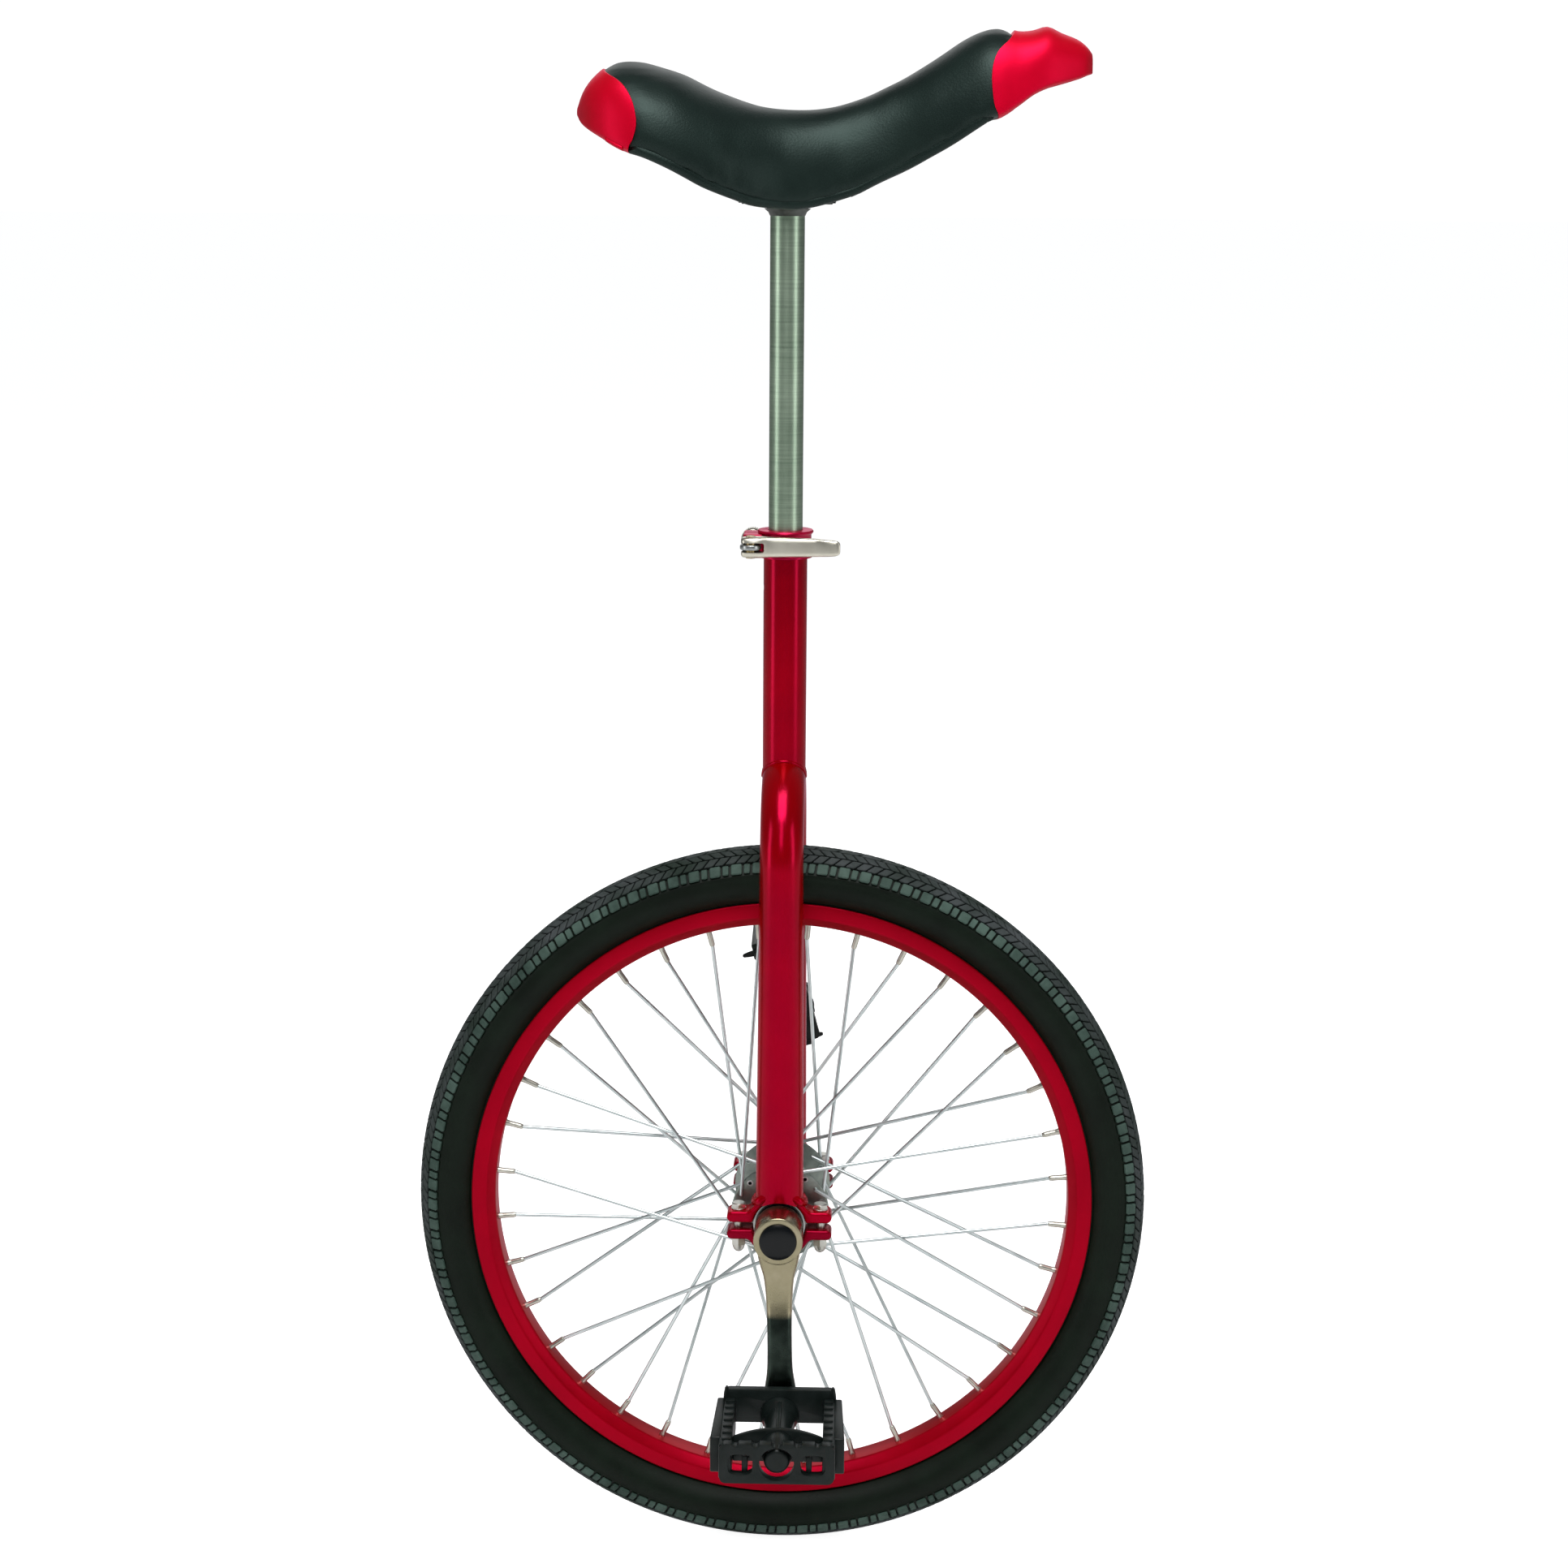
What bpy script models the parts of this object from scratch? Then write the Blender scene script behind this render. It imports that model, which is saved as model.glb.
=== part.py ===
"""Unicycle with a 20 inch wheel, its saddle clamped by a quick-release lever.

All sizes are in metres. +X is forward, +Y is the rider's left and +Z is up. The origin is the
point where the tyre touches the ground. "Side" is -1 on the rider's right and +1 on the left,
and "out" is the distance from the middle plane of the wheel along Y.
"""

import math

import bmesh
import bpy
from mathutils import Matrix, Vector

for old in list(bpy.data.objects):
    bpy.data.objects.remove(old, do_unlink=True)

# ---------------------------------------------------------------- driving dimensions
GAP = 0.0003                      # between pieces that touch
RIGHT = -1
LEFT = 1
SIDES = {"right": RIGHT, "left": LEFT}

# tyre and rim
BEAD_RADIUS = 0.203               # 406 mm bead seat
TYRE_HEIGHT = 0.045               # bead seat to tread
TYRE_HALF_WIDTH = 0.0227
TREAD_THICKNESS = 0.0044
SIDEWALL_THICKNESS = 0.0024
BEAD_THICKNESS = 0.0031
INNER_TUBE_WALL = 0.0013
RIM_HALF_WIDTH = 0.0137
RIM_FLANGE_HEIGHT = 0.0085        # bead seat to rim edge
RIM_WALL = 0.0021
RIM_FLOOR_DEPTH = 0.011           # bead seat down to the nipple face
RIM_FLOOR = 0.0022
WELL_HALF_WIDTH = 0.007
TAPE_THICKNESS = 0.0008
VALVE_RADIUS = 0.003
VALVE_LENGTH = 0.032              # below the rim floor
VALVE_BORE = 0.0012
TYRE_SEGMENTS = 36

# spokes
SPOKES_PER_SIDE = 18
SPOKE_CROSSES = 3
SPOKE_RADIUS = 0.001
SPOKE_HEAD_THICKNESS = 0.0009
NIPPLE_RADIUS = 0.002
NIPPLE_LENGTH = 0.012             # below the rim
NIPPLE_HEAD = 0.0014              # above the rim floor
FIRST_SPOKE = math.radians(5)
VALVE_ANGLE = math.radians(90)

# hub, axle and bearings
SPOKE_CIRCLE = 0.029
FLANGE_RADIUS = 0.033
FLANGE_OUT = 0.0293               # outer face of a flange
FLANGE_THICKNESS = 0.0026
HUB_BARREL_RADIUS = 0.0155
HUB_END_OUT = 0.0345
AXLE_RADIUS = 0.010
BEARING_RADIUS = 0.0175
BEARING_BORE = 0.0085
BEARING_WIDTH = 0.010
BALL_RADIUS = 0.0024
BALL_COUNT = 7
TAPER_HALF = 0.00635              # half of the square at its thin end
TAPER_RISE = 0.00025              # how much the square grows towards the hub
TAPER_LENGTH = 0.0215

# frame
TUBE_RADIUS = 0.0143
FORK_WALL = 0.0015
LEG_OUT = 0.050                   # leg centre line, also the radius of the crown's bend
CROWN_CLEARANCE = 0.0327          # tyre to the inside of the crown
LEG_FOOT_HALF_WIDTH = 0.016       # the flattened foot of a leg
LEG_FOOT_HALF_DEPTH = 0.0124
SEAT_TUBE_LENGTH = 0.163          # above the crown's centre line
HOLDER_WIDTH = 0.016
HOLDER_THICKNESS = 0.0042
HOLDER_SPLIT = 0.0052             # gap between the two halves
EAR_THICKNESS = 0.0072
EAR_REACH = 0.035
EAR_FILLET = 0.0038
HOLDER_BOLT_X = 0.0273
HOLDER_BOLT_RADIUS = 0.0029
HOLDER_HEAD_RADIUS = 0.0051
HOLDER_HEAD_HEIGHT = 0.0042
HOLDER_NUT_HEIGHT = 0.0105

# cranks and pedals
CRANK_LENGTH = 0.114
CRANK_TURN = math.radians(1.2)    # right crank's foot is this far forward of straight down
CRANK_BOSS_RADIUS = 0.0163
CRANK_BOSS_IN = 0.0605
CRANK_BOSS_OUT = 0.086
CRANK_EYE_RADIUS = 0.0115
CRANK_FOOT_OUT = 0.092
CRANK_FOOT_THICKNESS = 0.013
CRANK_RECESS_RADIUS = 0.0108
CRANK_RECESS_DEPTH = 0.0052
CRANK_BOLT_RADIUS = 0.0038
DUST_CAP_RADIUS = 0.0124
DUST_CAP_DOME = 0.0028
PEDAL_IN = 0.098
PEDAL_OUT = 0.178
PEDAL_HALF_IN = 0.036             # half length of the platform at its inner end
PEDAL_HALF_OUT = 0.0385           # and at its outer end
PEDAL_HALF_THICKNESS = 0.0138
PEDAL_WALL = 0.0065
PEDAL_BARREL_RADIUS = 0.0118
PEDAL_CORNER = 0.006
SPINDLE_RADIUS = 0.0055
SPINDLE_THREAD_RADIUS = 0.0069
LEFT_PEDAL_TURN = math.radians(74)
REFLECTOR_SIZE = (0.0020, 0.044, 0.011)

# seat post and quick-release clamp
POST_RADIUS = 0.0111
POST_WALL = 0.0015
POST_LENGTH = 0.297
POST_EXPOSED = 0.2055             # clamp top to the saddle's underside
COLLAR_HEIGHT = 0.018
COLLAR_WALL = 0.0026
COLLAR_LIP = 0.0019
COLLAR_SLIT = 0.0026
EAR_BLOCK_INSET = 0.0037          # the ears' sides, in from the collar's outside
EAR_BLOCK_BACK = 0.0103           # the ears' back, behind the collar
SKEWER_RADIUS = 0.0025
SKEWER_BACK = 0.0048              # the skewer's axis, behind the collar
CAM_RADIUS = 0.0065
CAM_WASHER_THICKNESS = 0.0018
LEVER_LENGTH = 0.058              # pin to tip
LEVER_HEIGHT = 0.0138
LEVER_TIP_HEIGHT = 0.011
LEVER_THICKNESS = 0.0045
LEVER_SLOT = 0.0062
CAM_PIN_RADIUS = 0.0036

# saddle: underside and top above the underside's lowest point, and half width, along X
SADDLE_STATIONS = (
    (-0.133, 0.0560, 0.0580, 0.030),
    (-0.122, 0.0440, 0.0820, 0.062),
    (-0.105, 0.0355, 0.0910, 0.078),
    (-0.080, 0.0265, 0.0865, 0.084),
    (-0.050, 0.0110, 0.0735, 0.079),
    (-0.003, 0.0000, 0.0605, 0.056),
    (0.043, 0.0095, 0.0665, 0.042),
    (0.080, 0.0275, 0.0845, 0.045),
    (0.107, 0.0435, 0.1025, 0.052),
    (0.134, 0.0575, 0.1125, 0.055),
    (0.162, 0.0755, 0.1120, 0.048),
    (0.180, 0.0810, 0.1060, 0.036),
    (0.190, 0.0850, 0.0975, 0.020),
)
SADDLE_REAR_JOIN = -0.096         # where the rear bumper meets the cushion
SADDLE_FRONT_JOIN = 0.120
BASE_THICKNESS = 0.005
BASE_INSET = 0.003
TONGUE_LIFT = 0.0018
TONGUE_THICKNESS = 0.0026
TONGUE_INSET = 0.012
BASE_REAR = -0.112
BASE_FRONT = 0.130
HANDLE_WALL = 0.006
HANDLE_REAR = 0.136
HANDLE_FRONT = 0.183
PLATE_HALF_LENGTH = 0.036
PLATE_HALF_WIDTH = 0.024
PLATE_THICKNESS = 0.003
SADDLE_BOLT_X = 0.026
SADDLE_BOLT_Y = 0.015
SADDLE_BOLT_RADIUS = 0.0029
SADDLE_BOLT_GRIP = 0.0035         # depth in the base
SADDLE_HEAD_RADIUS = 0.0055
SADDLE_HEAD_HEIGHT = 0.004

# ---------------------------------------------------------------- derived places
TYRE_RADIUS = BEAD_RADIUS + TYRE_HEIGHT
HUB_HEIGHT = TYRE_RADIUS
RIM_EDGE_RADIUS = BEAD_RADIUS + RIM_FLANGE_HEIGHT
RIM_INNER_RADIUS = BEAD_RADIUS - RIM_FLOOR_DEPTH
RIM_CHANNEL_HALF = RIM_HALF_WIDTH - RIM_WALL
CROWN_HEIGHT = 2 * TYRE_RADIUS + CROWN_CLEARANCE + TUBE_RADIUS
BEND_HEIGHT = CROWN_HEIGHT - LEG_OUT
SEAT_TUBE_TOP = CROWN_HEIGHT + SEAT_TUBE_LENGTH
COLLAR_TOP = SEAT_TUBE_TOP + GAP + COLLAR_LIP
SADDLE_HEIGHT = COLLAR_TOP + POST_EXPOSED
POST_TOP = SADDLE_HEIGHT - PLATE_THICKNESS - 2 * GAP
COLLAR_BORE = TUBE_RADIUS + GAP
COLLAR_RADIUS = COLLAR_BORE + COLLAR_WALL
EAR_BLOCK_HALF = COLLAR_RADIUS - EAR_BLOCK_INSET
EAR_BLOCK_REACH = COLLAR_RADIUS + EAR_BLOCK_BACK
SKEWER_X = -(COLLAR_RADIUS + SKEWER_BACK)
CLAMP_MID = COLLAR_TOP - COLLAR_HEIGHT / 2
CAM_OUT = EAR_BLOCK_HALF + CAM_WASHER_THICKNESS + 2 * GAP + CAM_RADIUS
HOLDER_BORE = BEARING_RADIUS + GAP
HOLDER_RADIUS = HOLDER_BORE + HOLDER_THICKNESS
AXLE_END_OUT = CRANK_BOSS_OUT - CRANK_RECESS_DEPTH - 0.001
RIM_SEGMENTS = 2 * SPOKES_PER_SIDE   # so that each nipple sits in the middle of a facet
FACET_SHARE = math.cos(math.pi / RIM_SEGMENTS)
ELBOW_OUT = FLANGE_OUT + GAP + 2.6 * SPOKE_RADIUS


# ---------------------------------------------------------------- shape tools
def material(name, colour, roughness, metallic=0.0):
    """A plain Principled material."""
    made = bpy.data.materials.new(name)
    made.use_nodes = True
    shader = made.node_tree.nodes["Principled BSDF"]
    shader.inputs["Base Color"].default_value = (*colour, 1.0)
    shader.inputs["Roughness"].default_value = roughness
    shader.inputs["Metallic"].default_value = metallic
    return made


RED_PAINT = material("red_paint", (0.55, 0.005, 0.012), 0.25)
RED_RIM = material("red_anodised_rim", (0.60, 0.004, 0.015), 0.28, 0.4)
RED_PLASTIC = material("red_bumper_plastic", (0.75, 0.004, 0.03), 0.3)
CHROME = material("chrome", (0.72, 0.68, 0.60), 0.12, 1.0)
STEEL = material("satin_steel", (0.45, 0.48, 0.45), 0.35, 1.0)
ZINC = material("zinc_steel", (0.62, 0.62, 0.60), 0.35, 1.0)
BRASS = material("brass", (0.65, 0.48, 0.22), 0.3, 1.0)
RUBBER = material("tyre_rubber", (0.02, 0.024, 0.02), 0.8)
TUBE_RUBBER = material("tube_rubber", (0.015, 0.015, 0.015), 0.6)
BLACK_PLASTIC = material("black_plastic", (0.012, 0.014, 0.012), 0.35)
VINYL = material("black_vinyl", (0.012, 0.018, 0.016), 0.25)
AMBER = material("amber_reflector", (0.9, 0.32, 0.02), 0.15)


def axis_empty(name, place, parent=None):
    """An empty that marks a joint's axis."""
    empty = bpy.data.objects.new(name, None)
    empty.location = place
    empty.parent = parent
    bpy.context.scene.collection.objects.link(empty)
    return empty


def finish(name, bm, finish_material, parent=None, turn=None):
    """Turn a finished bmesh into a named object, smooth where its faces meet at a low angle."""
    if turn is not None:
        bmesh.ops.transform(bm, matrix=turn, verts=bm.verts[:])
    bmesh.ops.recalc_face_normals(bm, faces=bm.faces[:])
    if bm.calc_volume(signed=True) < 0:
        bmesh.ops.reverse_faces(bm, faces=bm.faces[:])
    mesh = bpy.data.meshes.new(name)
    bm.to_mesh(mesh)
    bm.free()
    mesh.shade_smooth()
    mesh.set_sharp_from_angle(angle=math.radians(40))
    mesh.materials.append(finish_material)
    made = bpy.data.objects.new(name, mesh)
    made.parent = parent
    bpy.context.scene.collection.objects.link(made)
    return made


def sideways(side):
    """Turns local +Z to point outwards on one side."""
    return Matrix.Rotation(math.radians(-90 * side), 4, "X")


def turned(name, profile, finish_material, parent=None, turn=None, segments=32, ring=True):
    """Spin a profile of (radius, height) points about Z. A ring's profile is a closed loop."""
    bm = bmesh.new()
    points = [bm.verts.new((radius, 0, height)) for radius, height in profile]
    edges = [bm.edges.new(pair) for pair in zip(points, points[1:])]
    if ring:
        edges.append(bm.edges.new((points[-1], points[0])))
    full_turn = 2 * math.pi
    loop = points + edges
    around = {"cent": (0, 0, 0), "axis": (0, 0, 1), "angle": full_turn, "use_merge": True}
    bmesh.ops.spin(bm, geom=loop, steps=segments, **around)
    bmesh.ops.remove_doubles(bm, verts=bm.verts[:], dist=1e-6)
    return finish(name, bm, finish_material, parent, turn)


def rod(name, radius, low, high, finish_material, parent=None, turn=None, segments=16):
    """A plain round rod between two heights on Z."""
    profile = [(0, low), (radius, low), (radius, high), (0, high)]
    return turned(name, profile, finish_material, parent, turn, segments, ring=False)


def bridge(bm, rings, closed=False):
    """Faces between rings of points, with both ends capped unless the rings close on themselves."""
    loops = [[bm.verts.new(point) for point in ring] for ring in rings]
    pairs = list(zip(loops, loops[1:]))
    if closed:
        pairs.append((loops[-1], loops[0]))
    else:
        bm.faces.new(loops[0])
        bm.faces.new(loops[-1])
    for one, other in pairs:
        for step, corner in enumerate(one):
            following = (step + 1) % len(one)
            bm.faces.new((corner, one[following], other[following], other[step]))


def lofted(name, rings, finish_material, parent=None, turn=None, closed=False):
    """A skin over rings of points that all have the same length."""
    bm = bmesh.new()
    bridge(bm, rings, closed)
    return finish(name, bm, finish_material, parent, turn)


def prism(name, outline, low, high, finish_material, parent=None, turn=None, bevel=0.0):
    """Extrude an outline of (x, y) points from one height to another, with its long edges bevelled."""
    bm = bmesh.new()
    face = bm.faces.new([bm.verts.new((x, y, low)) for x, y in outline])
    raised = bmesh.ops.extrude_face_region(bm, geom=[face])["geom"]
    top = [item for item in raised if isinstance(item, bmesh.types.BMVert)]
    bmesh.ops.translate(bm, verts=top, vec=(0, 0, high - low))
    if bevel:
        rims = [edge for edge in bm.edges if abs(edge.verts[0].co.z - edge.verts[1].co.z) < 1e-7]
        bmesh.ops.bevel(bm, geom=rims, offset=bevel, segments=1, affect="EDGES", profile=0.5)
    return finish(name, bm, finish_material, parent, turn)


def block(name, low, high, finish_material, parent=None, turn=None, bevel=0.0):
    """A box between two corners."""
    outline = [(low[0], low[1]), (high[0], low[1]), (high[0], high[1]), (low[0], high[1])]
    return prism(name, outline, low[2], high[2], finish_material, parent, turn, bevel)


def arc(centre, radius, start, end, steps):
    """Points on an arc, with its angles in degrees."""
    angles = [math.radians(start + (end - start) * step / steps) for step in range(steps + 1)]
    return [(centre[0] + radius * math.cos(a), centre[1] + radius * math.sin(a)) for a in angles]


def use_tool(target, tool, operation="DIFFERENCE"):
    """Cut the target with a tool object, or join the tool to it, and hide the tool."""
    tool.hide_render = True
    tool.display_type = "WIRE"
    step = target.modifiers.new(tool.name, "BOOLEAN")
    step.operation = operation
    step.solver = "EXACT"
    step.object = tool


def many_rods(name, clear_radius, low, high, turns, parent=None, segments=4):
    """One tool made of equal rods whose flats clear this radius, each turned into its own place."""
    radius = clear_radius / math.cos(math.pi / segments)
    bm = bmesh.new()
    for turn in turns:
        shift = turn @ Matrix.Translation((0, 0, (low + high) / 2))
        size = {"radius1": radius, "radius2": radius, "depth": high - low}
        bmesh.ops.create_cone(bm, cap_ends=True, segments=segments, matrix=shift, **size)
    return finish(name, bm, ZINC, parent)


def outward(angle):
    """Turns local +Z to point from the hub at this angle in the wheel's plane."""
    return Matrix.Rotation(math.pi / 2 - angle, 4, "Y")


# ---------------------------------------------------------------- joints' axes
wheel_axis = axis_empty("wheel_axis", (0, 0, HUB_HEIGHT))
clamp_axis = axis_empty("clamp_axis", (0, 0, CLAMP_MID))
post_axis = axis_empty("post_axis", (0, 0, SADDLE_HEIGHT), clamp_axis)
post_axis.location = (0, 0, SADDLE_HEIGHT - CLAMP_MID)


# ---------------------------------------------------------------- frame
def fork_ring(place, angle, half_width, half_depth, sides=14):
    """An oval section of the fork, square to the line that leaves the bend's centre at this angle."""
    ring = []
    for step in range(sides):
        turn = 2 * math.pi * step / sides
        across = half_depth * math.cos(turn)
        out = place[0] + across * math.cos(angle)
        height = place[1] + across * math.sin(angle)
        ring.append((half_width * math.sin(turn), out, height))
    return ring


def fork_rings(shrink):
    """Sections from the right foot over the crown to the left foot."""
    foot = HUB_HEIGHT + HOLDER_BORE
    heights = (foot, foot + 0.10)
    legs = []
    for height in heights:
        share = max(0.0, 1 - (height - foot) / (BEND_HEIGHT - foot))
        half_width = TUBE_RADIUS + (LEG_FOOT_HALF_WIDTH - TUBE_RADIUS) * share
        half_depth = TUBE_RADIUS + (LEG_FOOT_HALF_DEPTH - TUBE_RADIUS) * share
        legs.append((height, half_width - shrink, half_depth - shrink))
    radius = TUBE_RADIUS - shrink
    rings = [fork_ring((-LEG_OUT, height), math.pi, wide, deep) for height, wide, deep in legs]
    bend_steps = 8
    for step in range(bend_steps + 1):
        angle = math.pi * (1 - step / bend_steps)
        place = (LEG_OUT * math.cos(angle), BEND_HEIGHT + LEG_OUT * math.sin(angle))
        rings.append(fork_ring(place, angle, radius, radius))
    rings += [fork_ring((LEG_OUT, height), 0.0, wide, deep) for height, wide, deep in reversed(legs)]
    return rings


def make_fork():
    """One tube bent into an inverted U, flattened at its feet and coped over the bearing holders."""
    outside = fork_rings(0.0)
    inside = fork_rings(FORK_WALL)
    fork = lofted("fork_tube", outside + inside[::-1], RED_PAINT, closed=True)
    cope = rod("foot_cope", HOLDER_RADIUS + GAP, -0.1, 0.1, RED_PAINT, wheel_axis, sideways(LEFT), 48)
    use_tool(fork, cope)


def make_seat_tube():
    """The upright tube, coped over the fork's crown and slotted at its top for the clamp."""
    outer = TUBE_RADIUS
    inner = POST_RADIUS + GAP
    profile = [(inner, CROWN_HEIGHT), (outer, CROWN_HEIGHT), (outer, SEAT_TUBE_TOP), (inner, SEAT_TUBE_TOP)]
    tube = turned("seat_tube", profile, RED_PAINT, segments=32)
    cope = lofted("crown_cope", fork_rings(-GAP), RED_PAINT)
    use_tool(tube, cope)
    slot_low = SEAT_TUBE_TOP - 2 * COLLAR_HEIGHT
    low = (-2 * TUBE_RADIUS, -COLLAR_SLIT / 2, slot_low)
    high = (-POST_RADIUS / 2, COLLAR_SLIT / 2, SEAT_TUBE_TOP + 0.01)
    slot = block("seat_tube_slot", low, high, RED_PAINT)
    use_tool(tube, slot)


def holder_outline():
    """The upper half of a bearing holder: an arch over the bearing, with an ear on each side."""
    low = HOLDER_SPLIT / 2
    top = low + EAR_THICKNESS
    end = EAR_THICKNESS / 2
    meet = math.degrees(math.asin(low / HOLDER_BORE))
    fillet_z = top + EAR_FILLET
    fillet_x = math.sqrt((HOLDER_RADIUS + EAR_FILLET) ** 2 - fillet_z**2)
    lean = math.degrees(math.atan2(fillet_z, fillet_x))
    outline = arc((0, 0), HOLDER_BORE, 180 - meet, meet, 10)
    outline += arc((EAR_REACH - end, low + end), end, -90, 90, 3)
    outline += arc((fillet_x, fillet_z), EAR_FILLET, 270, 180 + lean, 2)
    outline += arc((0, 0), HOLDER_RADIUS, lean, 180 - lean, 6)[1:-1]
    outline += arc((-fillet_x, fillet_z), EAR_FILLET, -lean, -90, 2)
    outline += arc((end - EAR_REACH, low + end), end, 90, 270, 3)
    return outline


def make_holder(where, side):
    """The two halves of one bearing holder, with the bolts and domed nuts that close them."""
    half = HOLDER_WIDTH / 2
    into_place = Matrix.Translation((0, side * LEG_OUT, 0)) @ Matrix.Rotation(math.radians(90), 4, "X")
    for part, flip in (("upper", 0), ("lower", 180)):
        turn = Matrix.Rotation(math.radians(flip), 4, "Y") @ into_place
        name = f"bearing_holder_{part}_{where}"
        piece = prism(name, holder_outline(), -half, half, RED_PAINT, wheel_axis, turn)
        holes = [Matrix.Translation((x, side * LEG_OUT, 0)) for x in (-HOLDER_BOLT_X, HOLDER_BOLT_X)]
        radius = HOLDER_BOLT_RADIUS + GAP
        tool = many_rods(f"{name}_holes", radius, -0.03, 0.03, holes, wheel_axis, 8)
        use_tool(piece, tool)
    ear_face = HOLDER_SPLIT / 2 + EAR_THICKNESS
    shank_end = -ear_face - HOLDER_NUT_HEIGHT * 0.6
    for end, x in (("rear", -HOLDER_BOLT_X), ("front", HOLDER_BOLT_X)):
        place = Matrix.Translation((x, side * LEG_OUT, 0))
        head_low = ear_face + GAP
        bolt = [
            (0, shank_end),
            (HOLDER_BOLT_RADIUS, shank_end),
            (HOLDER_BOLT_RADIUS, head_low),
            (HOLDER_HEAD_RADIUS, head_low),
            (HOLDER_HEAD_RADIUS, head_low + 0.7 * HOLDER_HEAD_HEIGHT),
            (HOLDER_HEAD_RADIUS * 0.7, head_low + HOLDER_HEAD_HEIGHT),
            (0, head_low + HOLDER_HEAD_HEIGHT),
        ]
        turned(f"holder_bolt_{where}_{end}", bolt, ZINC, wheel_axis, place, 8, ring=False)
        nut_top = -ear_face - GAP
        nut_low = -ear_face - HOLDER_NUT_HEIGHT
        thread = HOLDER_BOLT_RADIUS + GAP
        nut = [
            (0, shank_end - GAP),
            (thread, shank_end - GAP),
            (thread, nut_top),
            (HOLDER_HEAD_RADIUS, nut_top),
            (HOLDER_HEAD_RADIUS, nut_top - 0.45 * HOLDER_NUT_HEIGHT),
            (HOLDER_HEAD_RADIUS * 0.75, nut_low + 0.2 * HOLDER_NUT_HEIGHT),
            (0, nut_low),
        ]
        turned(f"holder_nut_{where}_{end}", nut, ZINC, wheel_axis, place, 8, ring=False)


# ---------------------------------------------------------------- bearings, axle and hub
def make_bearing(where, side):
    """A deep-groove ball bearing: outer race in the holder, inner race on the axle, balls between."""
    half = BEARING_WIDTH / 2
    pitch = (BEARING_RADIUS + BEARING_BORE) / 2
    race = 0.85 * BALL_RADIUS
    groove = BALL_RADIUS + 1.4 * GAP
    turn = Matrix.Translation((0, side * LEG_OUT, 0)) @ sideways(side)
    for name, edge, way in (("outer", BEARING_RADIUS, 1), ("inner", BEARING_BORE, -1)):
        land = pitch + way * race
        profile = [(edge, -half), (edge, half), (land, half), (pitch + way * groove, 0), (land, -half)]
        turned(f"bearing_{name}_race_{where}", profile, STEEL, wheel_axis, turn, 20)
    wide = 0.45 * BALL_RADIUS
    loop = [(pitch - wide, -wide), (pitch + wide, -wide), (pitch + wide, wide), (pitch - wide, wide)]
    cage = turned(f"bearing_ball_cage_{where}", loop, STEEL, wheel_axis, turn, 16)
    bm = bmesh.new()
    for step in range(BALL_COUNT):
        place = turn @ Matrix.Rotation(2 * math.pi * (step + 0.5) / BALL_COUNT, 4, "Z")
        ball = place @ Matrix.Translation((pitch, 0, 0))
        bmesh.ops.create_uvsphere(bm, u_segments=5, v_segments=4, radius=BALL_RADIUS, matrix=ball)
    use_tool(cage, finish(f"balls_{where}", bm, STEEL, wheel_axis), "UNION")


def taper_ring(out, extra, sides=16):
    """A section of the axle's square end, with its corners turned off round."""
    share = (AXLE_END_OUT - out) / TAPER_LENGTH
    half = TAPER_HALF + TAPER_RISE * share + extra
    ring = []
    for step in range(sides):
        angle = 2 * math.pi * step / sides
        reach = half / max(abs(math.cos(angle)), abs(math.sin(angle)))
        radius = min(reach, BEARING_BORE - 2 * GAP + extra)
        ring.append((radius * math.cos(angle), radius * math.sin(angle), out))
    return ring


def round_ring(radius, out, sides=16):
    """A round section on Z."""
    angles = [2 * math.pi * step / sides for step in range(sides)]
    return [(radius * math.cos(a), radius * math.sin(a), out) for a in angles]


def make_axle():
    """The live axle: thick through the hub, a seat for each bearing and a square taper at each end."""
    shoulder = LEG_OUT - BEARING_WIDTH / 2 - GAP
    seat = BEARING_BORE - GAP
    seat_end = LEG_OUT + BEARING_WIDTH / 2 + 2 * GAP
    half = [
        round_ring(AXLE_RADIUS, shoulder),
        round_ring(seat, shoulder),
        round_ring(seat, seat_end),
        taper_ring(seat_end + 0.0015, 0.0),
        taper_ring(AXLE_END_OUT, 0.0),
    ]
    other_half = [[(x, y, -z) for x, y, z in ring] for ring in reversed(half)]
    axle = lofted("axle", other_half + half, STEEL, wheel_axis, sideways(LEFT))
    thread = CRANK_BOLT_RADIUS + GAP
    ends = [sideways(side) for side in SIDES.values()]
    thread_end = AXLE_END_OUT - 0.022
    bores = many_rods("axle_threads", thread, thread_end, AXLE_END_OUT + 0.01, ends, wheel_axis, 8)
    use_tool(axle, bores)


def hub_hole_angles(side):
    """Angles of the spoke holes in one flange. The left flange's holes lie half a step from the right's."""
    step = 2 * math.pi / SPOKES_PER_SIDE
    start = FIRST_SPOKE + (step / 2 if side == RIGHT else 0.0)
    return [start + step * number for number in range(SPOKES_PER_SIDE)]


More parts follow.
